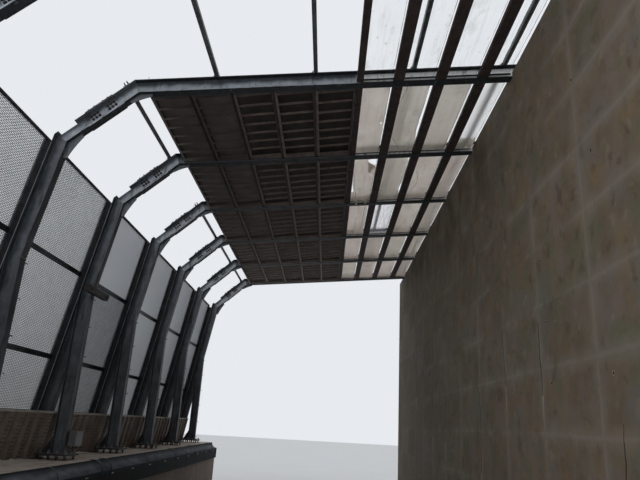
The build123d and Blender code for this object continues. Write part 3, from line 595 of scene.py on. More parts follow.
class Pieces:
    """Small closed solids gathered into one mesh."""

    def __init__(self):
        self.points, self.faces, self.kinds = [], [], []

    def face(self, corners, kind=0):
        self.faces.append(corners)
        self.kinds.append(kind)

    def skin(self, rings, kind=0):
        """A solid through rings that hold as many points each, closed at both ends."""
        start, count = len(self.points), len(rings[0])
        for ring in rings:
            self.points.extend(ring)
        last = start + (len(rings) - 1) * count
        for low in range(start, last, count):
            for index in range(count):
                after = (index + 1) % count
                self.face((low + index, low + after, low + count + after, low + count + index), kind)
        for low in (start, last):
            self.face(tuple(range(low, low + count)), kind)

    def prism(self, outline, along, kind=0):
        self.skin([outline, [point + along for point in outline]], kind)

    def profile(self, start, outline, first, second, along):
        """A bar along a direction, whose outline is measured along two others."""
        self.prism([start + first * a + second * b for a, b in outline], along)

    def bar(self, start, along, across, up, kind=0):
        """A bar that runs from start, with its section centred on across and standing on up."""
        low, high = start - across / 2, start + across / 2
        self.prism([low, high, high + up, low + up], along, kind)

    def rail(self, s, r, y, length, height, depth, kind=0):
        """A bar of the leaning side, along the road."""
        self.bar(lean(s, r, y), ROAD * length, ALONG_LEAN * height, TO_ROAD * depth, kind)

    def stile(self, s, r, y, length, width, depth):
        """A bar of the leaning side, up it."""
        self.bar(lean(s, r, y), ALONG_LEAN * length, ROAD * width, TO_ROAD * depth)

    def rod(self, start, along, radius, sides=6, tip=1.0):
        self.skin([circle(start, along, radius, sides), circle(start + along, along, radius * tip, sides)])

    def wire(self, points, radii, sides=5):
        """A round solid along a bent line, with a radius at each point."""
        ahead = [after - before for before, after in zip(points[:1] + points, points[1:] + points[-1:])]
        self.skin([circle(*facts, sides) for facts in zip(points, ahead, radii)])

    def bead(self, start, end, radius, chance):
        """A weld bead, uneven along its length."""
        count = max(2, round((end - start).length / WELD_STEP))
        points = [start.lerp(end, index / count) for index in range(count + 1)]
        self.wire(points, [radius * chance.uniform(0.7, 1.25) for _ in points])

    def bolt(self, foot, out, across_flats, chance, nut=0.0):
        """A washer and a six-sided head or nut, with the end of a thread when nut is given."""
        head = across_flats * 0.62
        self.rod(foot, out * WASHER_THICK, across_flats * 0.95, 12)
        turned = Matrix.Rotation(chance.uniform(0, 1), 3, out)
        ring = [foot + turned @ (point - foot) for point in circle(foot, out, across_flats * 0.577, 6)]
        low = [point + out * WASHER_THICK for point in ring]
        self.skin([low, [point + out * head * 0.85 for point in low],
                   [foot + (point - foot) * 0.84 + out * head * 1.02 for point in low]])
        if nut:
            self.rod(foot + out * head, out * nut, across_flats * 0.32, 10, tip=0.85)

    def plate(self, rows, thick, shown=lambda i, j: True, kind_at=lambda i, j: 0):
        """A thin closed sheet through rows of points, with thick as its depth, where shown says so."""
        start, height, width = len(self.points), len(rows), len(rows[0])
        lower = height * width
        for depth in (thick * 0, thick):
            self.points.extend(point + depth for row in rows for point in row)

        def there(i, j):
            return 0 <= i < height - 1 and 0 <= j < width - 1 and shown(i, j)

        for i, j in product(range(height - 1), range(width - 1)):
            if not there(i, j):
                continue
            kind = kind_at(i, j)
            a = start + i * width + j
            b, c, d = a + 1, a + width + 1, a + width
            self.face((a, b, c, d), kind)
            self.face((d + lower, c + lower, b + lower, a + lower), kind)
            edges = ((b, a, (i - 1, j)), (c, b, (i, j + 1)), (d, c, (i + 1, j)), (a, d, (i, j - 1)))
            for near, far, beside in edges:
                if not there(*beside):
                    self.face((near, far, far + lower, near + lower), kind)

    def make(self, name, slot, *looks, smooth=False):
        """The piece itself, with the finish of its slot where no looks are named."""
        mesh = bpy.data.meshes.new(name)
        mesh.from_pydata(self.points, [], self.faces)
        for look in looks or [slot]:
            mesh.materials.append(LOOKS[look])
        mesh.polygons.foreach_set("material_index", self.kinds)
        mesh.polygons.foreach_set("use_smooth", [smooth] * len(mesh.polygons))
        tidy = bmesh.new()
        tidy.from_mesh(mesh)
        bmesh.ops.delete(tidy, geom=[point for point in tidy.verts if not point.link_faces], context="VERTS")
        bmesh.ops.recalc_face_normals(tidy, faces=tidy.faces)
        tidy.to_mesh(mesh)
        tidy.free()
        return on_body(name, mesh)


def board_cuts(start, pitch, low, high):
    """Where the wall's mesh is cut along one axis: close beside each joint, and between."""
    offsets = [FIN_HALF * share for share in (-1, -0.4, 0.4, 1)]
    offsets += [pitch * share for share in (0.17, 0.34, 0.5, 0.66, 0.83)]
    found = [start + pitch * index + offset for index in range(20) for offset in offsets]
    return [place for place in found if low + 0.002 < place < high - 0.002]


def shuttered_wall(chance):
    """The wall again, with boards a little out of line and fins of grout along their joints."""
    body = bmesh.new()
    body.from_mesh(frame["nodes"]["concrete_wall"].data)
    xs, ys, zs = zip(*(point.co for point in body.verts))
    end, top = max(ys), max(zs)
    cuts = [(ROAD, place) for place in board_cuts(BOARD_START - BOARD_LENGTH * 2, BOARD_LENGTH, -end, end)]
    cuts += [(UP, place) for place in board_cuts(0.0, BOARD_HEIGHT, 0.0, top)]
    for axis, place in cuts:
        bmesh.ops.bisect_plane(body, geom=body.verts[:] + body.edges[:] + body.faces[:],
                               plane_co=axis * place, plane_no=axis, dist=1e-5)
    boards = {}
    for point in body.verts:
        along, up = point.co.y, point.co.z
        road_side, outer_side = [abs(point.co.x - x) < 1e-4 for x in (min(xs), max(xs))]
        if not (road_side or outer_side):
            continue
        column, row = (along - BOARD_START) / BOARD_LENGTH, up / BOARD_HEIGHT
        away = min(abs(column - round(column)) * BOARD_LENGTH, abs(row - round(row)) * BOARD_HEIGHT)
        key = (math.floor(column), math.floor(row), road_side)
        if key not in boards:
            boards[key] = chance.uniform(0, BOARD_STEP)
        raised = boards[key]
        if away < FIN_HALF * 0.6:
            raised = FIN_HEIGHT * clamp(0.35 + 1.6 * noise.noise(at(along * 1.4, up * 1.9, 3.0 + road_side)))
        depth = max(0.0, FIN_HEIGHT - raised)
        if up > top - NOTCHED and road_side:
            depth = FIN_HEIGHT
        loose = clamp(min(end - abs(along), top - NOTCHED - up, up) / FIXED_EDGE)
        inward = depth - FIN_HEIGHT if road_side else -depth
        point.co += at(inward, sway(along, up) * loose, sway(up, along) * loose)
    mesh = bpy.data.meshes.new("shuttered_wall")
    body.to_mesh(mesh)
    body.free()
    mesh.materials.clear()
    mesh.materials.append(LOOKS["wall_concrete"])
    piece = on_body("shuttered_wall", mesh)
    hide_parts("concrete_wall")


def wall_marks(chance):
    """Cracks, tie holes and trickles of lime on the wall's road face."""
    face = WALL_FACE - 0.0005
    dark, pale = Pieces(), Pieces()
    for line in CRACKS:
        points = []
        for (y, z), (next_y, next_z) in zip(line, line[1:]):
            count = max(2, round(math.hypot(next_y - y, next_z - z) / 0.05))
            for index in range(count):
                share = index / count
                points.append((y + (next_y - y) * share + chance.uniform(-0.011, 0.011),
                               z + (next_z - z) * share))
        points.append(line[-1])
        rows = []
        for index, (y, z) in enumerate(points):
            ends = min(1.0, index / 3, (len(points) - 1 - index) / 3)
            half = 0.001 + 0.0034 * ends * chance.uniform(0.6, 1.3)
            rows.append([at(face - 0.0012, y + hand * half, z) for hand in BOTH])
        dark.plate(rows, ACROSS * 0.0035)
        y, z = points[-1]
        trickle = []
        for index in range(7):
            half = 0.014 * (1 - index / 7) * chance.uniform(0.7, 1.2) + 0.002
            trickle.append([at(face - 0.0006, y + hand * half + index * 0.002, z - 0.01 - index * 0.045)
                            for hand in BOTH])
        pale.plate(trickle, ACROSS * 0.0028)
    for y, z in TIE_HOLES:
        centre = at(face, y, z)
        dark.rod(centre, ACROSS * -0.0016, chance.uniform(0.011, 0.016), 10)
        ring = circle(centre, -ACROSS, 0.019, 14)
        for point, after in zip(ring, ring[1:] + ring[:1]):
            pale.bar(point, ACROSS * -0.0022, (after - point) * 1.02, (centre - point) * 0.22)
    dark.make("wall_cracks_and_tie_holes", "wall_concrete", "crack")
    pale.make("wall_lime", "wall_concrete", "lime")


def splice_bolts(chance):
    """Bolts through the splice plates of the arms, and tie wires left on top of them."""
    heads, wires = Pieces(), Pieces()
    for y in FRAMES:
        for s, w, hand in product((0.40, 0.445, 0.49, 0.63, 0.675, 0.72), (0.07, 0.118), BOTH):
            heads.bolt(arm(s, w, y + hand * (WEB_HALF + SPLICE_THICK)), ROAD * hand, 0.021, chance,
                       0.012 if hand > 0 else 0)
        for s, across in product((0.42, 0.5, 0.62, 0.69), (-0.036, 0.036)):
            heads.bolt(arm(s, BEAM_DEPTH + SPLICE_THICK, y + across), OFF_ARM, 0.022, chance, 0.01)
        for s, across in product((0.36, 0.42, 0.69, 0.76), (-0.036, 0.036)):
            heads.rod(arm(s, -SPLICE_THICK, y + across), OFF_ARM * -0.006, 0.012, 10, tip=0.8)
        for x, z in ((-1.82, 5.545), (-1.53, 5.67)):
            base = at(x, y + chance.uniform(-0.03, 0.03), z)
            reach = chance.uniform(-0.02, 0.02)
            wires.wire([base + at(reach * up / 0.03, reach * 0.4, up) for up in (0, 0.025, 0.045, 0.062)],
                       [0.0022] * 4)
    heads.make("splice_bolts", "frame_steel", "dark_steel")
    wires.make("tie_wires", "stud_steel")


def node_islands(name):
    """The low and high corners of each separate solid of a node."""
    body = bmesh.new()
    body.from_mesh(frame["nodes"][name].data)
    bmesh.ops.remove_doubles(body, verts=body.verts, dist=1e-5)
    left, found = set(body.verts), []
    while left:
        edge = [left.pop()]
        island = []
        while edge:
            point = edge.pop()
            island.append(point.co[:])
            beside = {line.other_vert(point) for line in point.link_edges} & left
            left -= beside
            edge += beside
        found.append([Vector([pick(parts) for parts in zip(*island)]) for pick in (min, max)])
    body.free()
    return sorted(found, key=lambda pair: tuple(round(part, 4) for part in (pair[0] + pair[1])))


def feet_bolts(chance):
    """Nuts over and under the post plates at each stud, and bolts through the leg plates."""
    nuts = Pieces()
    for low, high in node_islands("anchor_studs"):
        x, y, _ = (low + high) / 2
        nuts.bolt(at(x, y, high.z + PLATE_THICK), UP, 0.036, chance, 0.022)
        nuts.bolt(at(x, y, high.z), -UP, 0.036, chance)
        nuts.rod(at(x, y, low.z), UP * 0.006, 0.03, 10, tip=0.8)
    for low, high in node_islands("leg_base_plates"):
        for x, y in product((low.x + 0.032, high.x - 0.032), (low.y + 0.032, high.y - 0.032)):
            nuts.bolt(at(x, y, high.z), UP, 0.026, chance, 0.016)
    nuts.make("foot_nuts", "stud_steel", "zinc")


def welds(chance):
    """Beads round the gussets, ribs, post feet and kinks."""
    beads = Pieces()
    foot = at(KINK.x, 0, POST_FOOT)
    heel = foot - ACROSS * BEAM_DEPTH
    # From, to, whether the bead runs out along a flange instead of beside the web, and its radius
    lines = ((KNEE, arm(LOWER_GUSSET, 0, 0), False, 0.0045),
             (KNEE - ALONG_LEAN * LOWER_GUSSET, KNEE, False, 0.0045),
             (EAVE - ALONG_ARM * UPPER_GUSSET, EAVE, False, 0.0045),
             (EAVE, roof(UPPER_GUSSET, 0, 0), False, 0.0045),
             (heel, heel, True, 0.006), (foot, foot, True, 0.006),
             (heel + ACROSS * 0.01, foot - ACROSS * 0.01, False, 0.006), (KINK, KINK, True, 0.005),
             (KNEE + OFF_LEAN * 0.002, KNEE + (OFF_LEAN + OFF_ARM).normalized() * 0.16, False, 0.004),
             (EAVE, EAVE + (OFF_ARM + OFF_ROOF).normalized() * 0.165, False, 0.004))
    for y, hand in product(FRAMES, BOTH):
        for start, end, outward, radius in lines:
            near, far = (y, y + hand * FLANGE_HALF) if outward else [y + hand * WEB_HALF] * 2
            beads.bead(start + ROAD * near, end + ROAD * far, radius, chance)
    beads.make("weld_beads", "frame_steel", "zinc", smooth=True)


def post_clips(chance):
    """Small hooks down the far edge of each post's road flange."""
    clips = Pieces()
    for y, step in product(FRAMES, range(CLIPS)):
        if chance.random() < 0.15 and step:
            continue
        level = CLIP_TOP - step * CLIP_PITCH + chance.uniform(-0.012, 0.012)
        foot = at(KINK.x - 0.004, y + FLANGE_HALF, level)
        clips.bar(foot, ROAD * 0.018, ACROSS * 0.03, UP * 0.007)
        hook = (at(0, 0.016, 0.002), at(0.012, 0.022, 0.006), at(0.024, 0.02, 0), at(0.026, 0.012, -0.012))
        clips.wire([foot + place for place in hook], [0.005, 0.005, 0.0045, 0.0035])
    clips.make("post_clips", "stud_steel")


def panels():
    """The leaning panels with rails as slim as the real ones: grooved frames and the sheets in them."""
    bars, sheets = Pieces(), Pieces()
    inner, (near, far), depth = RAIL - GROOVE, GROOVE_SIDES, PANEL_INNER - PANEL_OUTER
    outline = ((0, 0), (RAIL, 0), (RAIL, near), (inner, near), (inner, far), (RAIL, far), (RAIL, depth),
               (0, depth))
    edge = inner + SHEET_PLAY
    for tier, middle in product(range(TIERS), MIDDLES):
        low, high = PANEL_LIFT + tier * TIER + FIT, PANEL_LIFT + (tier + 1) * TIER - FIT
        left, right = middle - BAY / 2 + FIT, middle + BAY / 2 - FIT
        for start, inward in ((low, ALONG_LEAN), (high, -ALONG_LEAN)):
            bars.profile(lean(start, PANEL_OUTER, left), outline, inward, TO_ROAD, ROAD * (right - left))
        for start, inward in ((left, ROAD), (right, -ROAD)):
            bars.profile(lean(low + RAIL, PANEL_OUTER, start), outline, inward, TO_ROAD,
                         ALONG_LEAN * (high - low - 2 * RAIL))
        sheets.stile(low + edge, SHEET_OUTER, middle, high - low - 2 * edge, right - left - 2 * edge,
                     SHEET_INNER - SHEET_OUTER)
    piece = bars.make("slim_panel_frames", "panel_frame_paint")
    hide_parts("lower_panel_frames", "middle_panel_frames", "upper_panel_frames")
    piece = sheets.make("wide_panel_sheets", "frosted_panel")
    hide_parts("lower_panel_sheets", "middle_panel_sheets", "upper_panel_sheets")


def panel_trim():
    """Gaskets between the tiers, beads round the sheets, cover strips outside and screws."""
    rubber, strips, screws, sealed = Pieces(), Pieces(), Pieces(), Pieces()
    for middle, tier in product(MIDDLES, range(TIERS)):
        low = PANEL_LIFT + tier * TIER
        high = low + TIER
        if tier:
            rubber.rail(low, PANEL_OUTER + 0.002, middle - 0.995, 1.99, 0.0058, 0.046)
            rubber.rail(low, PANEL_INNER, middle - 0.94, 1.88, 0.016, 0.0025)
        inner_low, inner_high = low + FIT + RAIL, high - FIT - RAIL
        for level, depth in ((SHEET_INNER, BEAD_DEPTH), (SHEET_OUTER, -BEAD_DEPTH)):
            for s in (inner_low + BEAD / 2, inner_high - BEAD / 2):
                rubber.rail(s, level, middle - 0.973, 1.946, BEAD, depth)
            for hand in BOTH:
                length = inner_high - inner_low - 2 * BEAD
                rubber.stile(inner_low + BEAD, level, middle + hand * 0.969, length, BEAD, depth)
        for s, step in product((low + 0.015, high - 0.015), range(6)):
            for face, out in ((PANEL_INNER, TO_ROAD), (PANEL_OUTER, OFF_LEAN)):
                screws.rod(lean(s, face, middle - 0.85 + step * 0.34), out * 0.003, 0.007, 8, tip=0.7)
    for y in FRAMES:
        centre = y if abs(y) < FRAMES[-1] else y - math.copysign(STRIP_WIDTH / 2, y)
        strips.stile(PANEL_LIFT, PANEL_OUTER, centre, TIER * TIERS, STRIP_WIDTH, -STRIP_THICK)
        for step in range(12):
            place = lean(PANEL_LIFT + 0.15 + step * 0.3, PANEL_OUTER - STRIP_THICK, centre)
            screws.rod(place, OFF_LEAN * 0.005, 0.009, tip=0.8)
        for hand in BOTH:
            sealed.stile(PANEL_LIFT, -BEAM_DEPTH, y + hand * (FLANGE_HALF + 0.0015), 3.53, 0.003, 0.007)
    sealed.make("column_sealant", "panel_frame_paint", "sealant")
    rubber.make("panel_gaskets", "panel_frame_paint", "rubber")
    strips.make("panel_cover_strips", "panel_frame_paint")
    screws.make("panel_screws", "panel_frame_paint", "zinc")


def panel_nets():
    """Woven netting over the sheets of the near bays."""
    for bay, tiers in enumerate((3, 3, 2)):
        net = Pieces()
        middle = MIDDLES[bay]
        for tier in range(tiers):
            low = PANEL_LIFT + tier * TIER + NET_INSET
            height = TIER - 2 * NET_INSET
            count = int(height / NET_PITCH)
            pitch = height / count
            for row in range(count + 1):
                s = low + pitch * row
                net.rail(s, SHEET_INNER, middle - NET_HALF, 2 * NET_HALF, 0.0065, 0.004)
                start = middle - NET_HALF + NET_STEP * (0.5 if row % 2 else 1.0)
                while row < count and start < middle + NET_HALF - 0.005:
                    net.stile(s + 0.003, SHEET_INNER, start, pitch - 0.006, 0.006, 0.0035)
                    start += NET_STEP
        net.make(f"panel_net_bay_{bay + 1}", "frosted_panel", "thread")


def kick_louvres():
    """Short louvre hoods in rows on the ribs of the kick panels, and screws in their caps."""
    screws = Pieces()
    cap = KICK_LIFT + KICK_HEIGHT + CAP_HEIGHT
    for bay, near in enumerate(FRAMES[:-1]):
        hoods = Pieces()
        for index, step in product(range(KICK_RIBS), range(KICK_ROWS)):
            centre = near + FIT + (BAY - 2 * FIT) / KICK_RIBS * (index + 0.65)
            s = KICK_LIFT + 0.035 + step * KICK_ROW_PITCH
            if s < 0.12 and abs(centre - round(centre / BAY) * BAY) < 0.29:
                continue
            outline = ((0, 0), (HOOD_HEIGHT, 0), (0, HOOD_DEPTH))
            foot = lean(s, KICK_DEPTH, centre - HOOD_HALF)
            hoods.profile(foot, outline, ALONG_LEAN, TO_ROAD, ROAD * 2 * HOOD_HALF)
            # A near-black strip under each hood: painted shade where the slot under the hood opens.
            hoods.rail(s - 0.004, KICK_DEPTH, centre - 0.04, 0.08, 0.007, 0.0015, 1)
        hoods.make(f"kick_louvres_bay_{bay + 1}", "kick_panel_paint", "hood", "crack")
        for place in (0.2, 0.7, 1.2, 1.7):
            y = near + place
            screws.rod(lean(cap, KICK_DEPTH / 2, y), ALONG_LEAN * 0.004, 0.009, 8, tip=0.75)
            screws.rod(lean(cap - CAP_HEIGHT / 2, KICK_DEPTH, y - 0.02), TO_ROAD * 0.004, 0.008, 8, tip=0.75)
    screws.make("cap_rail_screws", "cap_rail_paint", "reflector")


def coping_trim():
    """Collars round the coping, its seams, and small reflectors along its side."""
    collars, marks = Pieces(), Pieces()
    centre = at(COPING_X - COPING_RADIUS, 0, PARAPET_TOP - COPING_RADIUS)
    # Each band's start, width, thickness, reach back over the ledge and drop down the side
    bands = [(y - width / 2, width, 0.007, [ACROSS * -0.05], 0.06) for y, width in COLLARS]
    bands += [(y, 0.03, 0.002, [], 0.24) for y in COPING_SEAMS]
    for y, width, thick, back, drop in bands:
        rings = []
        for radius in (COPING_RADIUS, COPING_RADIUS + thick):
            turns = [math.pi / 16 * step for step in range(9)]
            arc = [centre + at(math.sin(turn), 0, math.cos(turn)) * radius + ROAD * y for turn in turns]
            rings.append([arc[0] + reach for reach in back] + arc + [arc[-1] - UP * drop])
        collars.prism(rings[0] + rings[1][::-1], ROAD * width)
    for y in REFLECTORS:
        foot = at(COPING_X, y - REFLECTOR_LENGTH / 2, REFLECTOR_LEVEL)
        marks.bar(foot, ROAD * REFLECTOR_LENGTH, UP * 0.013, ACROSS * 0.006)
    collars.make("coping_collars", "coping_sheath")
    marks.make("coping_reflectors", "coping_sheath", "reflector")


def box_trim(chance):
    """Lid, screws and glands of the junction box, and bolts of the bracket beside it."""
    lid, dark = Pieces(), Pieces()
    low, high = node_islands("junction_box")[0]
    x, _, z = (low + high) / 2
    size = high - low
    lid.bar(at(high.x, low.y + 0.008, z), ROAD * (size.y - 0.016), UP * (size.z - 0.016), ACROSS * 0.006)
    for y, z in product((low.y + 0.022, high.y - 0.022), (low.z + 0.022, high.z - 0.022)):
        dark.rod(at(high.x + 0.006, y, z), ACROSS * 0.003, 0.007, 8, tip=0.8)
    for share in (0.3, 0.7):
        foot = at(x, low.y + size.y * share, low.z)
        dark.rod(foot, UP * -0.018, 0.014, 10)
        dark.rod(foot - UP * 0.018, UP * -0.012, 0.01, 10, tip=0.7)
    for low, high in node_islands("bracket_stub"):
        for y in (low.y + 0.06, high.y - 0.06):
            place = KINK + ALONG_LEAN * BRACKET_LIFT + TO_ROAD * BRACKET_DEPTH + ROAD * y
            dark.bolt(place, TO_ROAD, 0.024, chance, 0.014)
    lid.make("junction_box_lid", "box_plastic")
    dark.make("box_and_bracket_fixings", "stud_steel")


def roof_fixings(chance):
    """Cleats and bolts at the purlins, screws through the sheets, and ribs on the cassettes' backs."""
    cleats, bolts, ribs, rivets = Pieces(), Pieces(), Pieces(), Pieces()
    for y, start in product(FRAMES, PURLIN_STARTS):
        for u, width, height in ((0.006, 0.006, 0.042), (0.033, 0.048, 0.006)):
            cleats.bar(roof(start - u, BEAM_DEPTH, y - 0.045), ROAD * 0.09, ALONG_ROOF * width,
                       OFF_ROOF * height)
        for across in (-0.026, 0.026):
            bolts.bolt(roof(start - 0.032, BEAM_DEPTH + 0.006, y + across), OFF_ROOF, 0.018, chance)
            bolts.bolt(roof(start - 0.009, BEAM_DEPTH + 0.026, y + across), -ALONG_ROOF, 0.016, chance)
    for middle, strip in product(MIDDLES[1:], range(CASSETTES)):
        left = CASSETTE_START + strip * CASSETTE_PITCH
        for share in (0.25, 0.5, 0.75):
            ribs.bar(roof(left + CASSETTE_PITCH * share, CASSETTE_TOP, middle - 0.985), ROAD * 1.97,
                     ALONG_ROOF * 0.022, OFF_ROOF * 0.007)
        for end in (-0.93, 0.93):
            foot = roof(left + 0.02, CASSETTE_TOP, middle + end)
            ribs.bar(foot, ALONG_ROOF * 0.47, ROAD * 0.03, OFF_ROOF * 0.005)
        for step in range(7):
            place = middle - 0.9 + step * 0.3
            rivets.rod(roof(left + 0.012, CASSETTE_TOP, place), OFF_ROOF * 0.003, 0.006, tip=0.7)
            rivets.rod(roof(left + 0.027, BEAM_FLANGE, place), OFF_ROOF * -0.002, 0.005, tip=0.7)
    for middle, line, step in product(MIDDLES, GRID_LINES[:4], range(9)):
        inset = EDGE_BAR / 2 if line == GRID_LINES[0] else 0.0
        rivets.rod(roof(line + inset, BEAM_FLANGE, middle - 0.88 + step * 0.22), OFF_ROOF * -0.003, 0.007,
                   tip=0.7)
    cleats.make("purlin_cleats", "purlin_paint")
    bolts.make("purlin_bolts", "purlin_paint", "zinc")
    ribs.make("cassette_back_ribs", "absorber_paint")
    rivets.make("roof_rivets", "grid_bar_paint")


def eave_channel(chance):
    """The purlin on the arms, a lipped channel in two lengths, with cleats. Bays 1 and 3 have lost theirs."""
    channel, fixings = Pieces(), Pieces()
    half = [(-0.025, 0), (-0.025, 0.05), (-0.012, 0.05), (-0.012, 0.046), (-0.021, 0.046), (-0.021, 0.004)]
    outline = [(-s, w) for s, w in half] + half[::-1]
    foot = EAVE - ALONG_ARM * 0.05 + OFF_ARM * BEAM_DEPTH
    for first, last in ((FRAMES[1], FRAMES[2]), (FRAMES[3], FRAMES[-1])):
        channel.profile(foot + ROAD * (first - FLANGE_HALF), outline, ALONG_ARM, OFF_ARM,
                        ROAD * (last - first + 2 * FLANGE_HALF))
    for y in FRAMES[1:]:
        fixings.bar(foot - ALONG_ARM * 0.028 + ROAD * (y - 0.04), ROAD * 0.08, ALONG_ARM * 0.006,
                    OFF_ARM * 0.04)
        for across in (-0.022, 0.022):
            place = foot - ALONG_ARM * 0.031 + OFF_ARM * 0.024 + ROAD * (y + across)
            fixings.bolt(place, -ALONG_ARM, 0.014, chance)
    piece = channel.make("eave_channel", "purlin_paint")
    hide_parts("eave_purlin")
    fixings.make("eave_cleats", "purlin_paint", "zinc")


def beam_seats(chance):
    """Mortar pressed in round the beams' ends where they enter the wall."""
    mortar = Pieces()
    base, low, height = WALL_FACE - 0.004, 5.905, 0.07
    for y, hand in product(FRAMES, BOTH):
        outline = []
        for step in range(9):
            reach = chance.uniform(0.012, 0.03) * math.sin(math.pi * step / 8)
            outline.append(at(base, y + hand * (FLANGE_HALF + 0.012 + reach), low + height * step / 8))
        outline += [at(base, y + hand * FLANGE_HALF, z) for z in (low + height, low)]
        mortar.prism(outline, ACROSS * 0.03)
    mortar.make("beam_seat_mortar", "wall_concrete", "lime")


def between(points, place):
    """The value at a place along a bent line of (place, value) pairs."""
    for (start, first), (end, last) in zip(points[:1] + points, points):
        if end >= place:
            return first + (last - first) * ((place - start) / (end - start) if end > start else 0.0)
    return points[-1][1]


def inside(outline, u, y):
    """Whether a place on the roof lies in a polygon."""
    hit = False
    for (u1, y1), (u2, y2) in zip(outline, outline[1:] + outline[:1]):
        if (y1 > y) != (y2 > y) and u < u1 + (u2 - u1) * (y - y1) / (y2 - y1):
            hit = not hit
    return hit


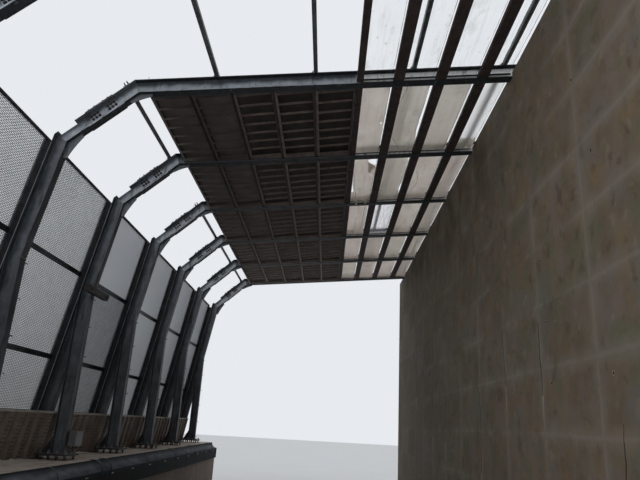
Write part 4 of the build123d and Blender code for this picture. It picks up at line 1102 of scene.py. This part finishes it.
def torn_sheet(strip, bay, low, high, sheets, dark_edges_and_crease_shade, chance):
    """One roof sheet between its bars at low and high, with its slivers, dark lines along its frayed edges,
    creases with their painted shade drawn as dark lines, and flaps.
    """
    facts = SHEETS.get((strip, bay), {})
    start = MIDDLES[bay - 1] - SHEET_HALF
    rows, columns = TORN_MESH if "flaps" in facts else PLAIN_MESH
    slack = facts.get("slack", chance.uniform(0.004, 0.016))
    phase = chance.uniform(0, 50)
    gap = 0.034 if strip == 4 else 0.012 + chance.uniform(0, 0.008)
    left = facts.get("left", [(0, -SHEET_LAP), (1, -SHEET_LAP)])
    right = facts.get("right", [(0, gap), (0.4, gap * 0.7), (1, gap)])
    look = facts.get("look", 0)
    places = []
    for row in range(rows + 1):
        share = row / rows
        y = start + 2 * SHEET_HALF * share
        ends = min(1.0, share / 0.06, (1 - share) / 0.06)
        uneven = 0.75 + 0.5 * noise.noise(at(y * 1.7, phase, 0))
        rough = noise.noise(at(y * 14, strip * 3.0, phase)) * facts.get("ragged", 0.0015) * 2
        from_u = low + between(left, share) + (rough if between(left, share) > 0 else 0)
        to_u = high - between(right, share) + rough
        line = []
        for column in range(columns + 1):
            u = from_u + (to_u - from_u) * column / columns
            across = clamp((u - low) / (high - low))
            sag = max(0.0, slack * math.sin(math.pi * across) * ends * uneven)
            crease = (0.0035 * noise.noise(at(u * 16, y * 5, phase)) * ends
                      * min(1.0, across * 6, (1 - across) * 6))
            line.append(roof(u, SHEET_LEVEL - sag + crease, y))
        places.append(line)

    def shown(i, j):
        middle = (places[i][j] + places[i + 1][j + 1]) / 2
        u = (middle - EAVE).dot(ALONG_ROOF)
        return not any(inside(hole, u, middle.y) for hole in facts.get("holes", []))

    def kind_at(i, j):
        others = [other for near, far, other in facts.get("cover", []) if near <= i / rows < far]
        return others[0] if others else look

    sheets.plate(places, OFF_ROOF * SHEET_THICK, shown, kind_at)
    for from_u, to_u in facts.get("slivers", []):
        sliver = []
        for row in range(25):
            y = start + 2 * SHEET_HALF * row / 24
            shift = noise.noise(at(y * 6, 4.0, phase)) * 0.0025
            sliver.append([roof(u + shift, SHEET_LEVEL - 0.001, y) for u in (from_u, to_u)])
        sheets.plate(sliver, OFF_ROOF * SHEET_THICK, kind_at=lambda i, j: look)
    # Dark lines along the frayed edges.
    for gaps, edge in ((left, 0), (right, columns)):
        frayed = between(gaps, 0.5) >= 0.003 or facts.get("fringe")
        if frayed and (edge or between(left, 0.2) > 0.003):
            run = [line[edge] - OFF_ROOF * 0.0006 for line in places[::2]]
            dark_edges_and_crease_shade.wire(run, [chance.uniform(0.0009, 0.0028) for _ in run], 4)
    # Each crease drawn as a dark line just under the sheet: painted shade.
    for (u, y), (last_u, last_y) in facts.get("creases", []):
        run = []
        for step in range(13):
            share = step / 12
            bend = 0.012 * math.sin(math.pi * share) + chance.uniform(-0.004, 0.004)
            run.append(roof(u + (last_u - u) * share + bend, SHEET_LEVEL - 0.021, y + (last_y - y) * share))
        dark_edges_and_crease_shade.wire(run, [chance.uniform(0.0012, 0.0026) for _ in run], 4)
    for ((first_u, first_y), (last_u, last_y)), (tip_u, tip_y), droop in facts.get("flaps", []):
        flap = []
        for share in (level / 8 for level in range(9)):
            line = []
            for across in (step / 8 for step in range(9)):
                u, y = first_u + (last_u - first_u) * across, first_y + (last_y - first_y) * across
                to_u = tip_u + (u - (first_u + last_u) / 2) * 0.35
                fall = droop * share ** 1.5 + 0.006 * math.sin(7 * across) * share
                line.append(roof(u + (to_u - u) * share, SHEET_LEVEL - 0.012 - fall, y + (tip_y - y) * share))
            flap.append(line)
        sheets.plate(flap, OFF_ROOF * 0.0015, kind_at=lambda i, j: 1)


def roof_sheets(chance):
    """The dirty sheets of the roof: slack, slipped aside, torn here and there."""
    dark_edges_and_crease_shade = Pieces()
    for strip in range(1, len(GRID_LINES)):
        sheets = Pieces()
        low = GRID_LINES[strip - 1] + (EDGE_BAR if strip == 1 else BAR_HALF)
        high = GRID_LINES[strip] - (0.0 if strip == 4 else BAR_HALF)
        for bay in range(1, BAYS + 1):
            torn_sheet(strip, bay, low, high, sheets, dark_edges_and_crease_shade, chance)
        piece = sheets.make(f"torn_sheets_strip_{strip}", "roof_sheet", *MILKY)
        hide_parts(f"roof_sheets_strip_{strip}")
    dark_edges_and_crease_shade.make("sheet_dark_edges_and_crease_shade", "roof_sheet", "crack")


def build():
    """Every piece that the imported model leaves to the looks. A maker that draws lots has its own seed."""
    makers = ((shuttered_wall, 100), (wall_marks, 101), (splice_bolts, 102), (feet_bolts, 103), (welds, 104),
              (post_clips, 105), (panel_trim,), (panel_nets,), (kick_louvres,), (coping_trim,),
              (box_trim, 110), (roof_fixings, 111), (beam_seats, 112), (roof_sheets, 113),
              (eave_channel, 114), (panels,))
    for maker, *seeds in makers:
        maker(*map(random.Random, seeds))


def make_floor(size=60):
    """A plain pale floor."""
    mesh = bpy.data.meshes.new("floor")
    mesh.from_pydata([(-size, -size, 0), (size, -size, 0), (size, size, 0), (-size, size, 0)], [],
                     [(0, 1, 2, 3)])
    floor = bpy.data.objects.new("floor", mesh)
    bpy.context.collection.objects.link(floor)
    f = Finish("floor")
    f.colour = f.blend(f.noise(0.5, 3), grey(0.62), grey(0.68))
    f.set(Roughness=0.9)
    mesh.materials.append(f.material)


def make_light():
    """Soft even light, as under a pale sky."""
    world = bpy.data.worlds.new("world")
    bpy.context.scene.world = world
    world.use_nodes = True
    world.node_tree.nodes["Background"].inputs["Color"].default_value = (0.80, 0.825, 0.86, 1)
    world.node_tree.nodes["Background"].inputs["Strength"].default_value = 1.0
    bpy.context.scene.view_settings.view_transform = "Standard"


make_camera()
dress()
build()
make_floor()
make_light()
